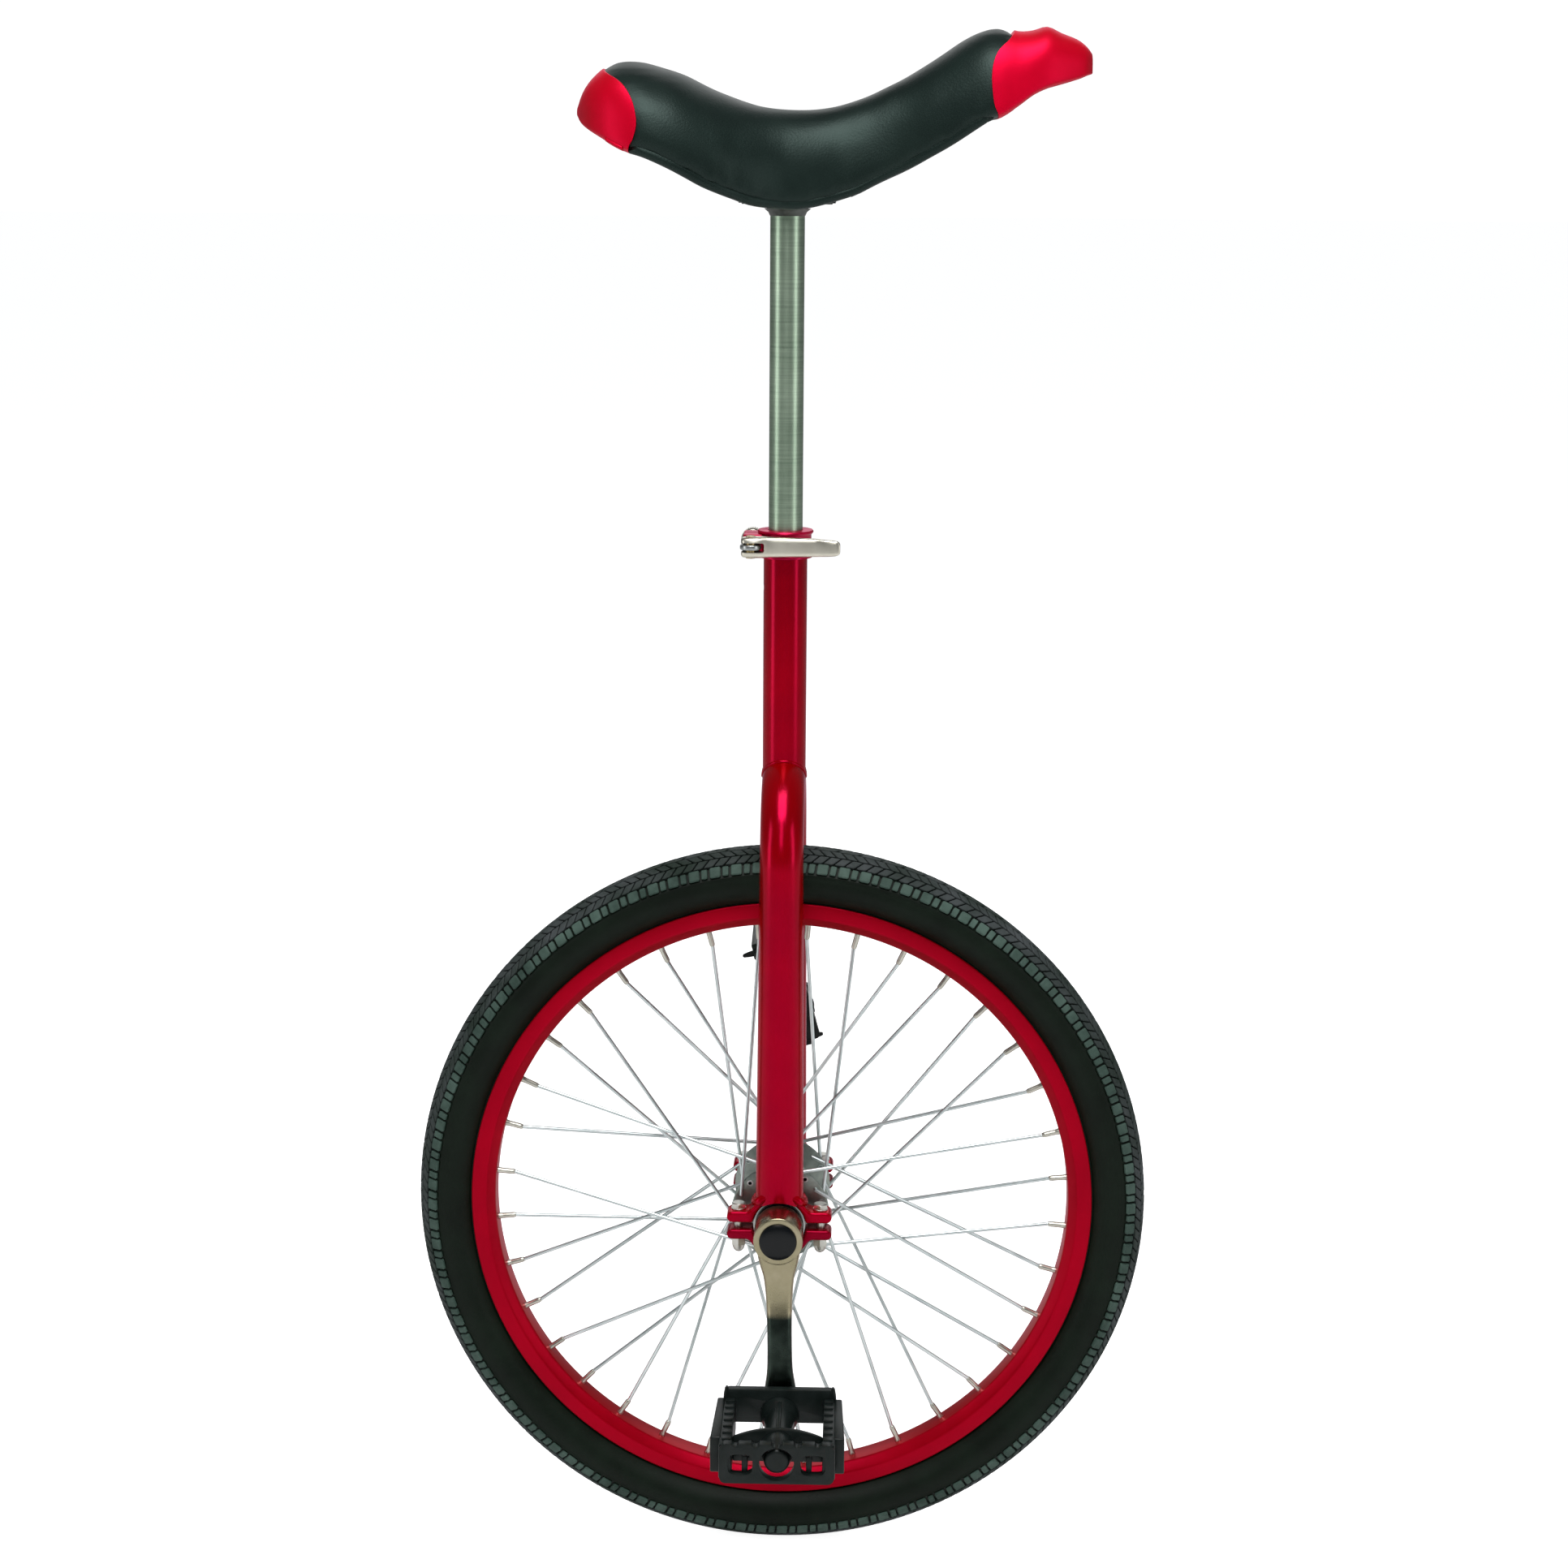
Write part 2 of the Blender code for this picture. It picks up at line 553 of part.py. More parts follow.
def make_hub():
    """The hub shell: a barrel with two flanges that hold the spokes' heads."""
    inner_face = FLANGE_OUT - FLANGE_THICKNESS
    half = [
        (HUB_BARREL_RADIUS, 0.75 * inner_face),
        (HUB_BARREL_RADIUS + 0.003, inner_face),
        (FLANGE_RADIUS, inner_face),
        (FLANGE_RADIUS, FLANGE_OUT),
        (HUB_BARREL_RADIUS + 0.001, FLANGE_OUT),
        (HUB_BARREL_RADIUS - 0.002, HUB_END_OUT),
        (AXLE_RADIUS + GAP, HUB_END_OUT),
    ]
    other_half = [(radius, -out) for radius, out in reversed(half)]
    hub = turned("hub_shell", half + other_half, STEEL, wheel_axis, sideways(LEFT), 24)
    low = inner_face - 0.002
    high = FLANGE_OUT + 0.002
    for where, side in SIDES.items():
        places = []
        for angle in hub_hole_angles(side):
            across = Matrix.Translation((SPOKE_CIRCLE * math.cos(angle), 0, SPOKE_CIRCLE * math.sin(angle)))
            places.append(across @ sideways(side))
        holes = many_rods(f"flange_holes_{where}", SPOKE_RADIUS + GAP, low, high, places, wheel_axis)
        use_tool(hub, holes)


# ---------------------------------------------------------------- spokes
def wheel_point(radius, angle, out):
    """A point in the wheel, by its radius, its angle from forward and its place along Y."""
    return Vector((radius * math.cos(angle), out, radius * math.sin(angle)))


def spoke_rings(hub_angle, rim_angle, side, roll):
    """Sections of one spoke: its end inside the flange, the elbow, the straight wire and the nipple."""
    start_out = FLANGE_OUT - FLANGE_THICKNESS - SPOKE_HEAD_THICKNESS
    rim_out = side * SPOKE_RADIUS
    nipple_foot = RIM_INNER_RADIUS - NIPPLE_LENGTH
    nipple_top = (RIM_INNER_RADIUS + RIM_FLOOR) * FACET_SHARE + NIPPLE_HEAD
    start = wheel_point(SPOKE_CIRCLE, hub_angle, side * start_out)
    elbow = wheel_point(SPOKE_CIRCLE, hub_angle, side * ELBOW_OUT)
    foot = wheel_point(nipple_foot, rim_angle, rim_out)
    top = wheel_point(nipple_top, rim_angle, rim_out)
    out_course = (elbow - start).normalized()
    wire_course = (foot - elbow).normalized()
    nipple_course = (top - foot).normalized()
    stops = [
        (start, SPOKE_RADIUS, out_course),
        (elbow, SPOKE_RADIUS, out_course + wire_course),
        (foot, SPOKE_RADIUS, wire_course + nipple_course),
        (foot, NIPPLE_RADIUS, nipple_course),
        (top, NIPPLE_RADIUS, nipple_course),
    ]
    across = out_course.cross(wire_course)
    rings = []
    for place, radius, course in stops:
        along = course.normalized()
        first = (across - along * across.dot(along)).normalized()
        second = along.cross(first)
        angles = [math.pi * step / 2 + roll for step in range(4)]
        rings.append([place + radius * (first * math.cos(a) + second * math.sin(a)) for a in angles])
    return rings


def spoke_set(name, where, side, lean):
    """Half of the spokes on one side, all leaning the same way round the wheel."""
    bm = bmesh.new()
    reach = SPOKE_CROSSES * 2 * math.pi / SPOKES_PER_SIDE
    first = 0 if (lean > 0) == (side == LEFT) else 1
    for hub_angle in hub_hole_angles(side)[first::2]:
        bridge(bm, spoke_rings(hub_angle, hub_angle - lean * reach, side, 0.0 if lean > 0 else math.pi / 4))
    return finish(f"{name}_{where}", bm, ZINC, wheel_axis)


def make_spokes(where, side):
    """Both sets on one side. Each spoke touches those that it crosses, so they make one piece."""
    leading = spoke_set("spokes", where, side, 1)
    trailing = spoke_set("trailing_spokes", where, side, -1)
    use_tool(leading, trailing, "UNION")


# ---------------------------------------------------------------- rim, tape, tube and tyre
def make_rim():
    """The rim: a channel with a bead seat, a well and a rounded nose, drilled for nipples and valve."""
    nose = RIM_INNER_RADIUS
    half = [
        (nose, 0.7 * RIM_HALF_WIDTH),
        (nose + 0.0055, RIM_HALF_WIDTH),
        (RIM_EDGE_RADIUS, RIM_HALF_WIDTH),
        (RIM_EDGE_RADIUS, RIM_CHANNEL_HALF),
        (BEAD_RADIUS, RIM_CHANNEL_HALF),
        (BEAD_RADIUS, WELL_HALF_WIDTH + 0.0016),
        (nose + RIM_FLOOR, WELL_HALF_WIDTH),
    ]
    other_half = [(radius, -out) for radius, out in reversed(half)]
    rim = turned("rim", half + other_half, RED_RIM, wheel_axis, sideways(LEFT), RIM_SEGMENTS)
    low = nose - 0.004
    high = nose + RIM_FLOOR + 0.002
    for where, side in SIDES.items():
        shift = Matrix.Translation((0, side * SPOKE_RADIUS, 0))
        turns = [shift @ outward(angle) for angle in hub_hole_angles(side)]
        holes = many_rods(f"nipple_holes_{where}", NIPPLE_RADIUS + 1.5 * GAP, low, high, turns, wheel_axis)
        use_tool(rim, holes)
    hole = VALVE_RADIUS + GAP
    valve = rod("rim_valve_hole", hole, low, high, RED_RIM, wheel_axis, outward(VALVE_ANGLE), 12)
    use_tool(rim, valve)


def make_rim_tape():
    """The strip that covers the nipples' heads in the rim's well."""
    low = RIM_INNER_RADIUS + RIM_FLOOR + NIPPLE_HEAD + 2 * GAP
    high = low + TAPE_THICKNESS
    half = WELL_HALF_WIDTH - GAP
    loop = [(low, -half), (high, -half), (high, half), (low, half)]
    tape = turned("rim_tape", loop, TUBE_RUBBER, wheel_axis, sideways(LEFT), RIM_SEGMENTS)
    radius = VALVE_RADIUS + GAP
    turn = outward(VALVE_ANGLE)
    hole = rod("tape_valve_hole", radius, low - 0.004, high + 0.004, RED_RIM, wheel_axis, turn, 12)
    use_tool(tape, hole)


def tyre_oval(shrink, shrink_top, start, end, steps):
    """Points on the tyre's section, from a start to an end angle. 90 is the tread and 0 the side."""
    widest = BEAD_RADIUS + 0.52 * TYRE_HEIGHT
    above = TYRE_RADIUS - widest - shrink_top
    below = 0.36 * TYRE_HEIGHT - shrink
    wide = TYRE_HALF_WIDTH - shrink
    points = []
    for step in range(steps + 1):
        angle = math.radians(start + (end - start) * step / steps)
        tall = above if math.sin(angle) > 0 else below
        points.append((widest + tall * math.sin(angle), wide * math.cos(angle)))
    return points


def make_tyre():
    """The tyre: an open casing whose two beads sit in the rim."""
    foot = BEAD_RADIUS / math.cos(math.pi / TYRE_SEGMENTS) + GAP
    outer = RIM_CHANNEL_HALF - GAP
    inner = outer - BEAD_THICKNESS
    outside_end = -math.degrees(math.acos(outer / TYRE_HALF_WIDTH))
    inside_wide = TYRE_HALF_WIDTH - SIDEWALL_THICKNESS
    inside_end = -math.degrees(math.acos(inner / inside_wide))
    outside = tyre_oval(0.0, 0.0, 90, 0, 3) + tyre_oval(0.0, 0.0, 0, outside_end, 2)[1:]
    inside = tyre_oval(SIDEWALL_THICKNESS, TREAD_THICKNESS, inside_end, 0, 2)
    inside += tyre_oval(SIDEWALL_THICKNESS, TREAD_THICKNESS, 0, 90, 3)[1:]
    half = outside + [(foot, outer), (foot, inner)] + inside
    other_half = [(radius, -out) for radius, out in reversed(half[1:-1])]
    turned("tyre", half + other_half, RUBBER, wheel_axis, sideways(LEFT), TYRE_SEGMENTS)


def make_inner_tube():
    """The inner tube, with its valve stem through the rim and a bore that opens the tube."""
    gap = 3 * GAP
    skins = []
    shells = []
    for name, extra in (("inner_tube", gap), ("tube_cavity", gap + INNER_TUBE_WALL)):
        skin = tyre_oval(SIDEWALL_THICKNESS + extra, TREAD_THICKNESS + extra, 0, 315, 7)
        rings = []
        for step in range(TYRE_SEGMENTS):
            angle = 2 * math.pi * step / TYRE_SEGMENTS
            rings.append([wheel_point(radius, angle, out) for radius, out in skin])
        skins.append(skin)
        shells.append(lofted(name, rings, TUBE_RUBBER, wheel_axis, closed=True))
    tube, cavity = shells
    floor = min(radius for radius, _ in skins[0])
    stem_foot = RIM_INNER_RADIUS - VALVE_LENGTH
    turn = outward(VALVE_ANGLE)
    stem_top = floor + 0.6 * INNER_TUBE_WALL
    stem = rod("valve_stem", VALVE_RADIUS, stem_foot, stem_top, TUBE_RUBBER, wheel_axis, turn, 12)
    use_tool(tube, stem, "UNION")
    use_tool(tube, cavity)
    bore_high = floor + 3 * INNER_TUBE_WALL
    bore = rod("valve_bore", VALVE_BORE, stem_foot - 0.002, bore_high, TUBE_RUBBER, wheel_axis, turn, 8)
    use_tool(tube, bore)
    cap_low = stem_foot - 0.0015
    cap_high = stem_foot + 0.008
    outer = VALVE_RADIUS + 0.0016
    cap = [
        (0, cap_low),
        (outer, cap_low),
        (outer, cap_high),
        (VALVE_RADIUS + GAP, cap_high),
        (VALVE_RADIUS + GAP, stem_foot - GAP),
        (0, stem_foot - GAP),
    ]
    turned("valve_cap", cap, BLACK_PLASTIC, wheel_axis, turn, 12, ring=False)


# ---------------------------------------------------------------- cranks and pedals
def oval_ring(centre_out, along, half_width, half_thickness, sides=10):
    """A section of the crank's arm: fuller than an ellipse, square to the arm."""
    power = 2 / 2.6
    ring = []
    for step in range(sides):
        angle = 2 * math.pi * step / sides
        wide = math.copysign(abs(math.cos(angle)) ** power, math.cos(angle))
        deep = math.copysign(abs(math.sin(angle)) ** power, math.sin(angle))
        ring.append((half_width * wide, centre_out + half_thickness * deep, -along))
    return ring


def make_crank(where, side):
    """A steel crank: a boss on the axle's square, an arm that bends outwards and an eye for the pedal."""
    turn_about_axle = -CRANK_TURN if side == RIGHT else math.pi - CRANK_TURN
    crank_axis = axis_empty(f"crank_axis_{where}", (0, 0, 0), wheel_axis)
    crank_axis.rotation_euler = (0, turn_about_axle, 0)
    arm = [
        (0.010, CRANK_BOSS_OUT - 0.0030, 0.0196, 0.019),
        (0.25 * CRANK_LENGTH, CRANK_BOSS_OUT - 0.0032, 0.0178, 0.0155),
        (0.40 * CRANK_LENGTH, CRANK_BOSS_OUT - 0.0015, 0.0161, 0.0130),
        (0.59 * CRANK_LENGTH, CRANK_FOOT_OUT - 0.0018, 0.0147, 0.0118),
        (0.78 * CRANK_LENGTH, CRANK_FOOT_OUT, 0.0153, 0.0118),
        (0.96 * CRANK_LENGTH, CRANK_FOOT_OUT, 0.0190, CRANK_FOOT_THICKNESS - 0.0005),
    ]
    rings = []
    for along, outer_face, width, thickness in arm:
        rings.append(oval_ring(side * (outer_face - thickness / 2), along, width / 2, thickness / 2))
    crank = lofted(f"crank_{where}", rings, CHROME, crank_axis)
    chamfer = 0.0012
    boss = [
        (0, CRANK_BOSS_IN),
        (CRANK_BOSS_RADIUS - chamfer, CRANK_BOSS_IN),
        (CRANK_BOSS_RADIUS, CRANK_BOSS_IN + chamfer),
        (CRANK_BOSS_RADIUS, CRANK_BOSS_OUT - chamfer),
        (CRANK_BOSS_RADIUS - chamfer, CRANK_BOSS_OUT),
        (0, CRANK_BOSS_OUT),
    ]
    turn = sideways(side)
    use_tool(crank, turned(f"crank_boss_{where}", boss, CHROME, crank_axis, turn, 20, ring=False), "UNION")
    pedal_turn = Matrix.Translation((0, 0, -CRANK_LENGTH)) @ turn
    eye_in = CRANK_FOOT_OUT - CRANK_FOOT_THICKNESS
    eye_low = eye_in + 0.0002
    eye_high = CRANK_FOOT_OUT + 0.0002
    eye = rod(f"crank_eye_{where}", CRANK_EYE_RADIUS, eye_low, eye_high, CHROME, crank_axis, pedal_turn, 16)
    use_tool(crank, eye, "UNION")
    recess_in = CRANK_BOSS_OUT - CRANK_RECESS_DEPTH
    square = [taper_ring(out, GAP) for out in (CRANK_BOSS_IN - 0.003, recess_in + 0.002)]
    use_tool(crank, lofted(f"crank_square_{where}", square, CHROME, crank_axis, turn))
    beyond = CRANK_FOOT_OUT + 0.01
    recess_name = f"crank_recess_{where}"
    recess = rod(recess_name, CRANK_RECESS_RADIUS, recess_in, beyond, CHROME, crank_axis, turn, 16)
    use_tool(crank, recess)
    thread = SPINDLE_THREAD_RADIUS + GAP
    thread_name = f"crank_thread_{where}"
    hole = rod(thread_name, thread, eye_in - 0.01, beyond, CHROME, crank_axis, pedal_turn, 16)
    use_tool(crank, hole)
    make_crank_bolt(where, crank_axis, turn, recess_in)
    make_spindle(where, crank_axis, pedal_turn, eye_in)
    make_pedal(where, side, turn_about_axle)


def make_crank_bolt(where, parent, turn, recess_in):
    """The bolt that pulls the crank on to the axle, and the black cap that covers it."""
    head_low = recess_in + GAP
    head = 0.0060
    bolt = [
        (0, AXLE_END_OUT - 0.018),
        (CRANK_BOLT_RADIUS, AXLE_END_OUT - 0.018),
        (CRANK_BOLT_RADIUS, head_low),
        (CRANK_RECESS_RADIUS - 0.0022, head_low),
        (CRANK_RECESS_RADIUS - 0.0022, head_low + 0.0012),
        (head, head_low + 0.0012),
        (head, head_low + 0.0032),
        (0, head_low + 0.0032),
    ]
    turned(f"crank_bolt_{where}", bolt, STEEL, parent, turn, 12, ring=False)
    face = CRANK_BOSS_OUT + GAP
    plug = CRANK_RECESS_RADIUS - GAP
    hollow = plug - 0.0012
    cap = [
        (0, face + DUST_CAP_DOME - 0.0014),
        (hollow, face - 0.0002),
        (hollow, face - 0.0024),
        (plug, face - 0.0024),
        (plug, face),
        (DUST_CAP_RADIUS, face),
        (DUST_CAP_RADIUS, face + 0.0009),
        (0.75 * DUST_CAP_RADIUS, face + 0.0022),
        (0, face + DUST_CAP_DOME),
    ]
    turned(f"dust_cap_{where}", cap, BLACK_PLASTIC, parent, turn, 16, ring=False)


def make_spindle(where, parent, turn, eye_in):
    """The pedal's spindle, screwed into the crank's eye."""
    collar_in = CRANK_FOOT_OUT + 2 * GAP
    collar_end = PEDAL_IN + 0.001
    spindle = [
        (0, eye_in - 0.0005),
        (SPINDLE_THREAD_RADIUS, eye_in - 0.0005),
        (SPINDLE_THREAD_RADIUS, collar_in),
        (SPINDLE_THREAD_RADIUS + 0.0018, collar_in),
        (SPINDLE_THREAD_RADIUS + 0.0018, collar_in + 0.0028),
        (SPINDLE_RADIUS + 0.0006, collar_in + 0.0034),
        (SPINDLE_RADIUS + 0.0006, collar_end),
        (SPINDLE_RADIUS, collar_end + 0.002),
        (0.8 * SPINDLE_RADIUS, PEDAL_OUT - 0.014),
        (0, PEDAL_OUT - 0.014),
    ]
    turned(f"pedal_spindle_{where}", spindle, STEEL, parent, turn, 16, ring=False)


def make_pedal(where, side, crank_angle):
    """A moulded platform pedal: a frame round a barrel that turns on the spindle."""
    place = (-CRANK_LENGTH * math.sin(crank_angle), 0, -CRANK_LENGTH * math.cos(crank_angle))
    pedal_axis = axis_empty(f"pedal_axis_{where}", place, wheel_axis)
    if side == LEFT:
        pedal_axis.rotation_euler = (0, LEFT_PEDAL_TURN, 0)
    corner = PEDAL_CORNER
    inner = PEDAL_IN + corner
    outer = PEDAL_OUT - corner
    outline = arc((PEDAL_HALF_IN - corner, inner), corner, -90, 0, 3)
    outline += arc((PEDAL_HALF_OUT - corner, outer), corner, 0, 90, 3)
    outline += arc((corner - PEDAL_HALF_OUT, outer), corner, 90, 180, 3)
    outline += arc((corner - PEDAL_HALF_IN, inner), corner, 180, 270, 3)
    outline = [(x, side * y) for x, y in outline]
    half = PEDAL_HALF_THICKNESS
    pedal = prism(f"pedal_body_{where}", outline, -half, half, BLACK_PLASTIC, pedal_axis, None, 0.0012)
    window_x = PEDAL_HALF_IN - PEDAL_WALL
    ends = sorted((side * (PEDAL_IN + PEDAL_WALL), side * (PEDAL_OUT - PEDAL_WALL)))
    low = (-window_x, ends[0], -2 * half)
    window = block(f"pedal_window_{where}", low, (window_x, ends[1], 2 * half), BLACK_PLASTIC, pedal_axis)
    use_tool(pedal, window)
    turn = sideways(side)
    barrel_low = PEDAL_IN + 0.001
    barrel_high = PEDAL_OUT - 0.001
    tool = (BLACK_PLASTIC, pedal_axis, turn)
    barrel = rod(f"pedal_barrel_{where}", PEDAL_BARREL_RADIUS, barrel_low, barrel_high, *tool, 24)
    use_tool(pedal, barrel, "UNION")
    bore_radius = SPINDLE_RADIUS + 0.0006 + GAP
    bore = rod(f"pedal_bore_{where}", bore_radius, PEDAL_IN - 0.01, PEDAL_OUT - 0.013, *tool, 16)
    use_tool(pedal, bore)
    for end, way in (("rear", -1), ("front", 1)):
        x = sorted((way * (PEDAL_BARREL_RADIUS + 0.004), way * (window_x - 0.002)))
        y = sorted((side * (PEDAL_OUT - 2 * PEDAL_WALL), side * (PEDAL_OUT + 0.01)))
        low = (x[0], y[0], -half / 2)
        high = (x[1], y[1], half / 2)
        port = block(f"pedal_port_{where}_{end}", low, high, BLACK_PLASTIC, pedal_axis)
        use_tool(pedal, port)
        make_reflector(where, side, end, way, pedal_axis)


def make_reflector(where, side, end, way, pedal_axis):
    """An amber reflector set along one edge of a pedal, following the edge's slight taper."""
    thick, length, tall = REFLECTOR_SIZE
    slope = math.atan2(PEDAL_HALF_OUT - PEDAL_HALF_IN, PEDAL_OUT - PEDAL_IN - 2 * PEDAL_CORNER)
    middle_out = (PEDAL_IN + PEDAL_OUT) / 2
    edge = (PEDAL_HALF_IN + PEDAL_HALF_OUT) / 2 + GAP / math.cos(slope)
    place = Matrix.Translation((way * edge, side * middle_out, 0))
    turn = place @ Matrix.Rotation(-way * side * slope, 4, "Z")
    x = sorted((0.0, way * thick))
    low = (x[0], -length / 2, -tall / 2)
    block(f"pedal_reflector_{where}_{end}", low, (x[1], length / 2, tall / 2), AMBER, pedal_axis, turn)


# ---------------------------------------------------------------- seat clamp
def make_collar():
    """The clamp's collar: a lipped ring with a split block of ears behind the tube."""
    low = COLLAR_TOP - COLLAR_HEIGHT - CLAMP_MID
    top = COLLAR_TOP - CLAMP_MID
    lip_low = top - COLLAR_LIP
    lip_bore = POST_RADIUS + GAP
    flare = 0.0007
    profile = [
        (COLLAR_BORE, low),
        (COLLAR_RADIUS, low),
        (COLLAR_RADIUS, lip_low - 0.001),
        (COLLAR_RADIUS + flare, lip_low),
        (COLLAR_RADIUS + flare, top),
        (lip_bore, top),
        (lip_bore, lip_low),
        (COLLAR_BORE, lip_low),
    ]
    collar = turned("clamp_collar", profile, RED_PAINT, clamp_axis, segments=24)
    corner = 0.004
    rear = -EAR_BLOCK_REACH
    front = -COLLAR_BORE - 0.0008
    outline = [(front, -EAR_BLOCK_HALF), (front, EAR_BLOCK_HALF)]
    outline += arc((rear + corner, EAR_BLOCK_HALF - corner), corner, 90, 180, 3)
    outline += arc((rear + corner, corner - EAR_BLOCK_HALF), corner, 180, 270, 3)
    ears = prism("clamp_ears", outline, low + 0.001, lip_low - 0.0003, RED_PAINT, clamp_axis)
    use_tool(collar, ears, "UNION")
    web_x = -math.sqrt(COLLAR_RADIUS**2 - EAR_BLOCK_HALF**2)
    for name, side in SIDES.items():
        y = sorted((side * (EAR_BLOCK_HALF - 0.005), side * EAR_BLOCK_HALF))
        web_low = (front - 0.001, y[0], low + 0.0016)
        web_high = (web_x, y[1], lip_low - 0.0008)
        web = block(f"clamp_web_{name}", web_low, web_high, RED_PAINT, clamp_axis)
        use_tool(collar, web, "UNION")
    bore = rod("clamp_bore", COLLAR_BORE, low - 0.01, lip_low, RED_PAINT, clamp_axis, segments=24)
    use_tool(collar, bore)
    slit_low = (-0.05, -COLLAR_SLIT / 2, low - 0.01)
    slit_high = (-POST_RADIUS / 2, COLLAR_SLIT / 2, top + 0.01)
    slit = block("clamp_slit", slit_low, slit_high, RED_PAINT, clamp_axis)
    use_tool(collar, slit)
    across = Matrix.Translation((SKEWER_X, 0, 0)) @ sideways(LEFT)
    hole = rod("skewer_hole", SKEWER_RADIUS + GAP, -0.05, 0.05, RED_PAINT, clamp_axis, across, 14)
    use_tool(collar, hole)


def make_skewer():
    """The skewer, the pin that its lever turns on, the cam's washer and the thumb nut."""
    across = Matrix.Translation((SKEWER_X, 0, 0)) @ sideways(RIGHT)
    pin_face = CAM_OUT - CAM_PIN_RADIUS - GAP
    nut_in = EAR_BLOCK_HALF + GAP
    nut_out = nut_in + 0.010
    rod("qr_skewer", SKEWER_RADIUS, -nut_out - 0.0015, pin_face, STEEL, clamp_axis, across, 14)
    washer_in = EAR_BLOCK_HALF + GAP
    washer_out = washer_in + CAM_WASHER_THICKNESS
    bore = SKEWER_RADIUS + GAP
    loop = [(bore, washer_in), (CAM_RADIUS, washer_in), (CAM_RADIUS, washer_out), (bore, washer_out)]
    turned("qr_cam_washer", loop, BLACK_PLASTIC, clamp_axis, across, 24)
    other_way = Matrix.Translation((SKEWER_X, 0, 0)) @ sideways(LEFT)
    nut = [
        (bore, nut_in),
        (0.0062, nut_in),
        (0.0078, nut_in + 0.0018),
        (0.0078, nut_out - 0.002),
        (0.0060, nut_out),
        (bore, nut_out),
    ]
    nut_axis = axis_empty("qr_nut_axis", (0, 0, 0), clamp_axis)
    turned("qr_nut", nut, STEEL, nut_axis, other_way, 14)
    pin_place = (SKEWER_X, RIGHT * CAM_OUT, 0)
    lever_axis = axis_empty("qr_lever_axis", pin_place, clamp_axis)
    half = LEVER_HEIGHT / 2
    rod("qr_cam_pin", CAM_PIN_RADIUS, -half - 0.0004, half + 0.0004, BRASS, lever_axis, None, 20)
    make_lever(lever_axis)


def make_lever(lever_axis):
    """The cam lever, forked round the skewer. It points forward when the clamp is shut."""
    half = LEVER_HEIGHT / 2
    tip_half = LEVER_TIP_HEIGHT / 2
    inner = -CAM_RADIUS + 0.0030
    thin = LEVER_THICKNESS
    stations = [
        (-0.004, -CAM_RADIUS * 0.75, CAM_RADIUS * 0.75, half),
        (0.004, -CAM_RADIUS, CAM_RADIUS * 0.9, half),
        (0.011, inner - 0.0005, thin + inner + 0.002, half),
        (0.038, inner, thin + inner, tip_half + 0.0006),
        (0.050, inner + 0.0012, thin + inner + 0.0012, tip_half),
        (LEVER_LENGTH - 0.002, inner + 0.003, thin + inner + 0.0022, tip_half - 0.0012),
        (LEVER_LENGTH, inner + 0.0038, thin + inner + 0.0018, tip_half - 0.003),
    ]
    rings = []
    for x, near, far, tall in stations:
        corner = 0.22 * (far - near)
        profile = [
            (near, -tall + corner),
            (near + corner, -tall),
            (far - corner, -tall),
            (far, -tall + corner),
            (far, tall - corner),
            (far - corner, tall),
            (near + corner, tall),
            (near, tall - corner),
        ]
        rings.append([(x, -out, z) for out, z in profile])
    lever = lofted("qr_lever", rings, CHROME, lever_axis)
    cam = rod("lever_cam", CAM_RADIUS, -half, half, CHROME, lever_axis, None, 28)
    use_tool(lever, cam, "UNION")
    slot_end = SKEWER_RADIUS + 4 * GAP
    low = (-0.03, -0.03, -LEVER_SLOT / 2)
    slot = block("lever_slot", low, (slot_end, 0.03, LEVER_SLOT / 2), CHROME, lever_axis)
    use_tool(lever, slot)
    hole = rod("lever_pin_hole", CAM_PIN_RADIUS + GAP, -0.02, 0.02, CHROME, lever_axis, None, 20)
    use_tool(lever, hole)


# ---------------------------------------------------------------- seat post and saddle
def along_saddle(x, column):
    """A saddle curve at one place, by a smooth curve through its stations."""
    stations = SADDLE_STATIONS
    last = len(stations) - 2
    number = 0
    while number < last and stations[number + 1][0] < x:
        number += 1
    here = stations[number]
    ahead = stations[number + 1]
    before = stations[max(number - 1, 0)]
    beyond = stations[min(number + 2, last + 1)]
    width = ahead[0] - here[0]
    slope_here = (ahead[column] - before[column]) / (ahead[0] - before[0])
    slope_ahead = (beyond[column] - here[column]) / (beyond[0] - here[0])
    t = (x - here[0]) / width
    value = here[column] * (2 * t**3 - 3 * t**2 + 1) + ahead[column] * (3 * t**2 - 2 * t**3)
    value += width * (slope_here * (t**3 - 2 * t**2 + t) + slope_ahead * (t**3 - t**2))
    return value


def saddle_ring(x, low, high, half_width, crown=2.4, steps=10):
    """A section of the saddle: flat below, crowned above."""
    ring = []
    for step in range(steps + 1):
        angle = math.pi * step / steps
        wide = math.copysign(abs(math.cos(angle)) ** (2 / crown), math.cos(angle))
        tall = math.sin(angle) ** (2 / crown)
        ring.append((x, half_width * wide, low + (high - low) * tall))
    return ring


def saddle_span(start, end, spacing=0.016):
    """Places along the saddle from start to end."""
    steps = max(2, round((end - start) / spacing))
    return [start + (end - start) * step / steps for step in range(steps + 1)]


def saddle_solid(name, places, lift, finish_material):
    """A closed piece of the saddle between its top and its underside raised by lift."""
    rings = []
    for x in places:
        rings.append(saddle_ring(x, along_saddle(x, 1) + lift, along_saddle(x, 2), along_saddle(x, 3)))
    return lofted(name, rings, finish_material, post_axis)


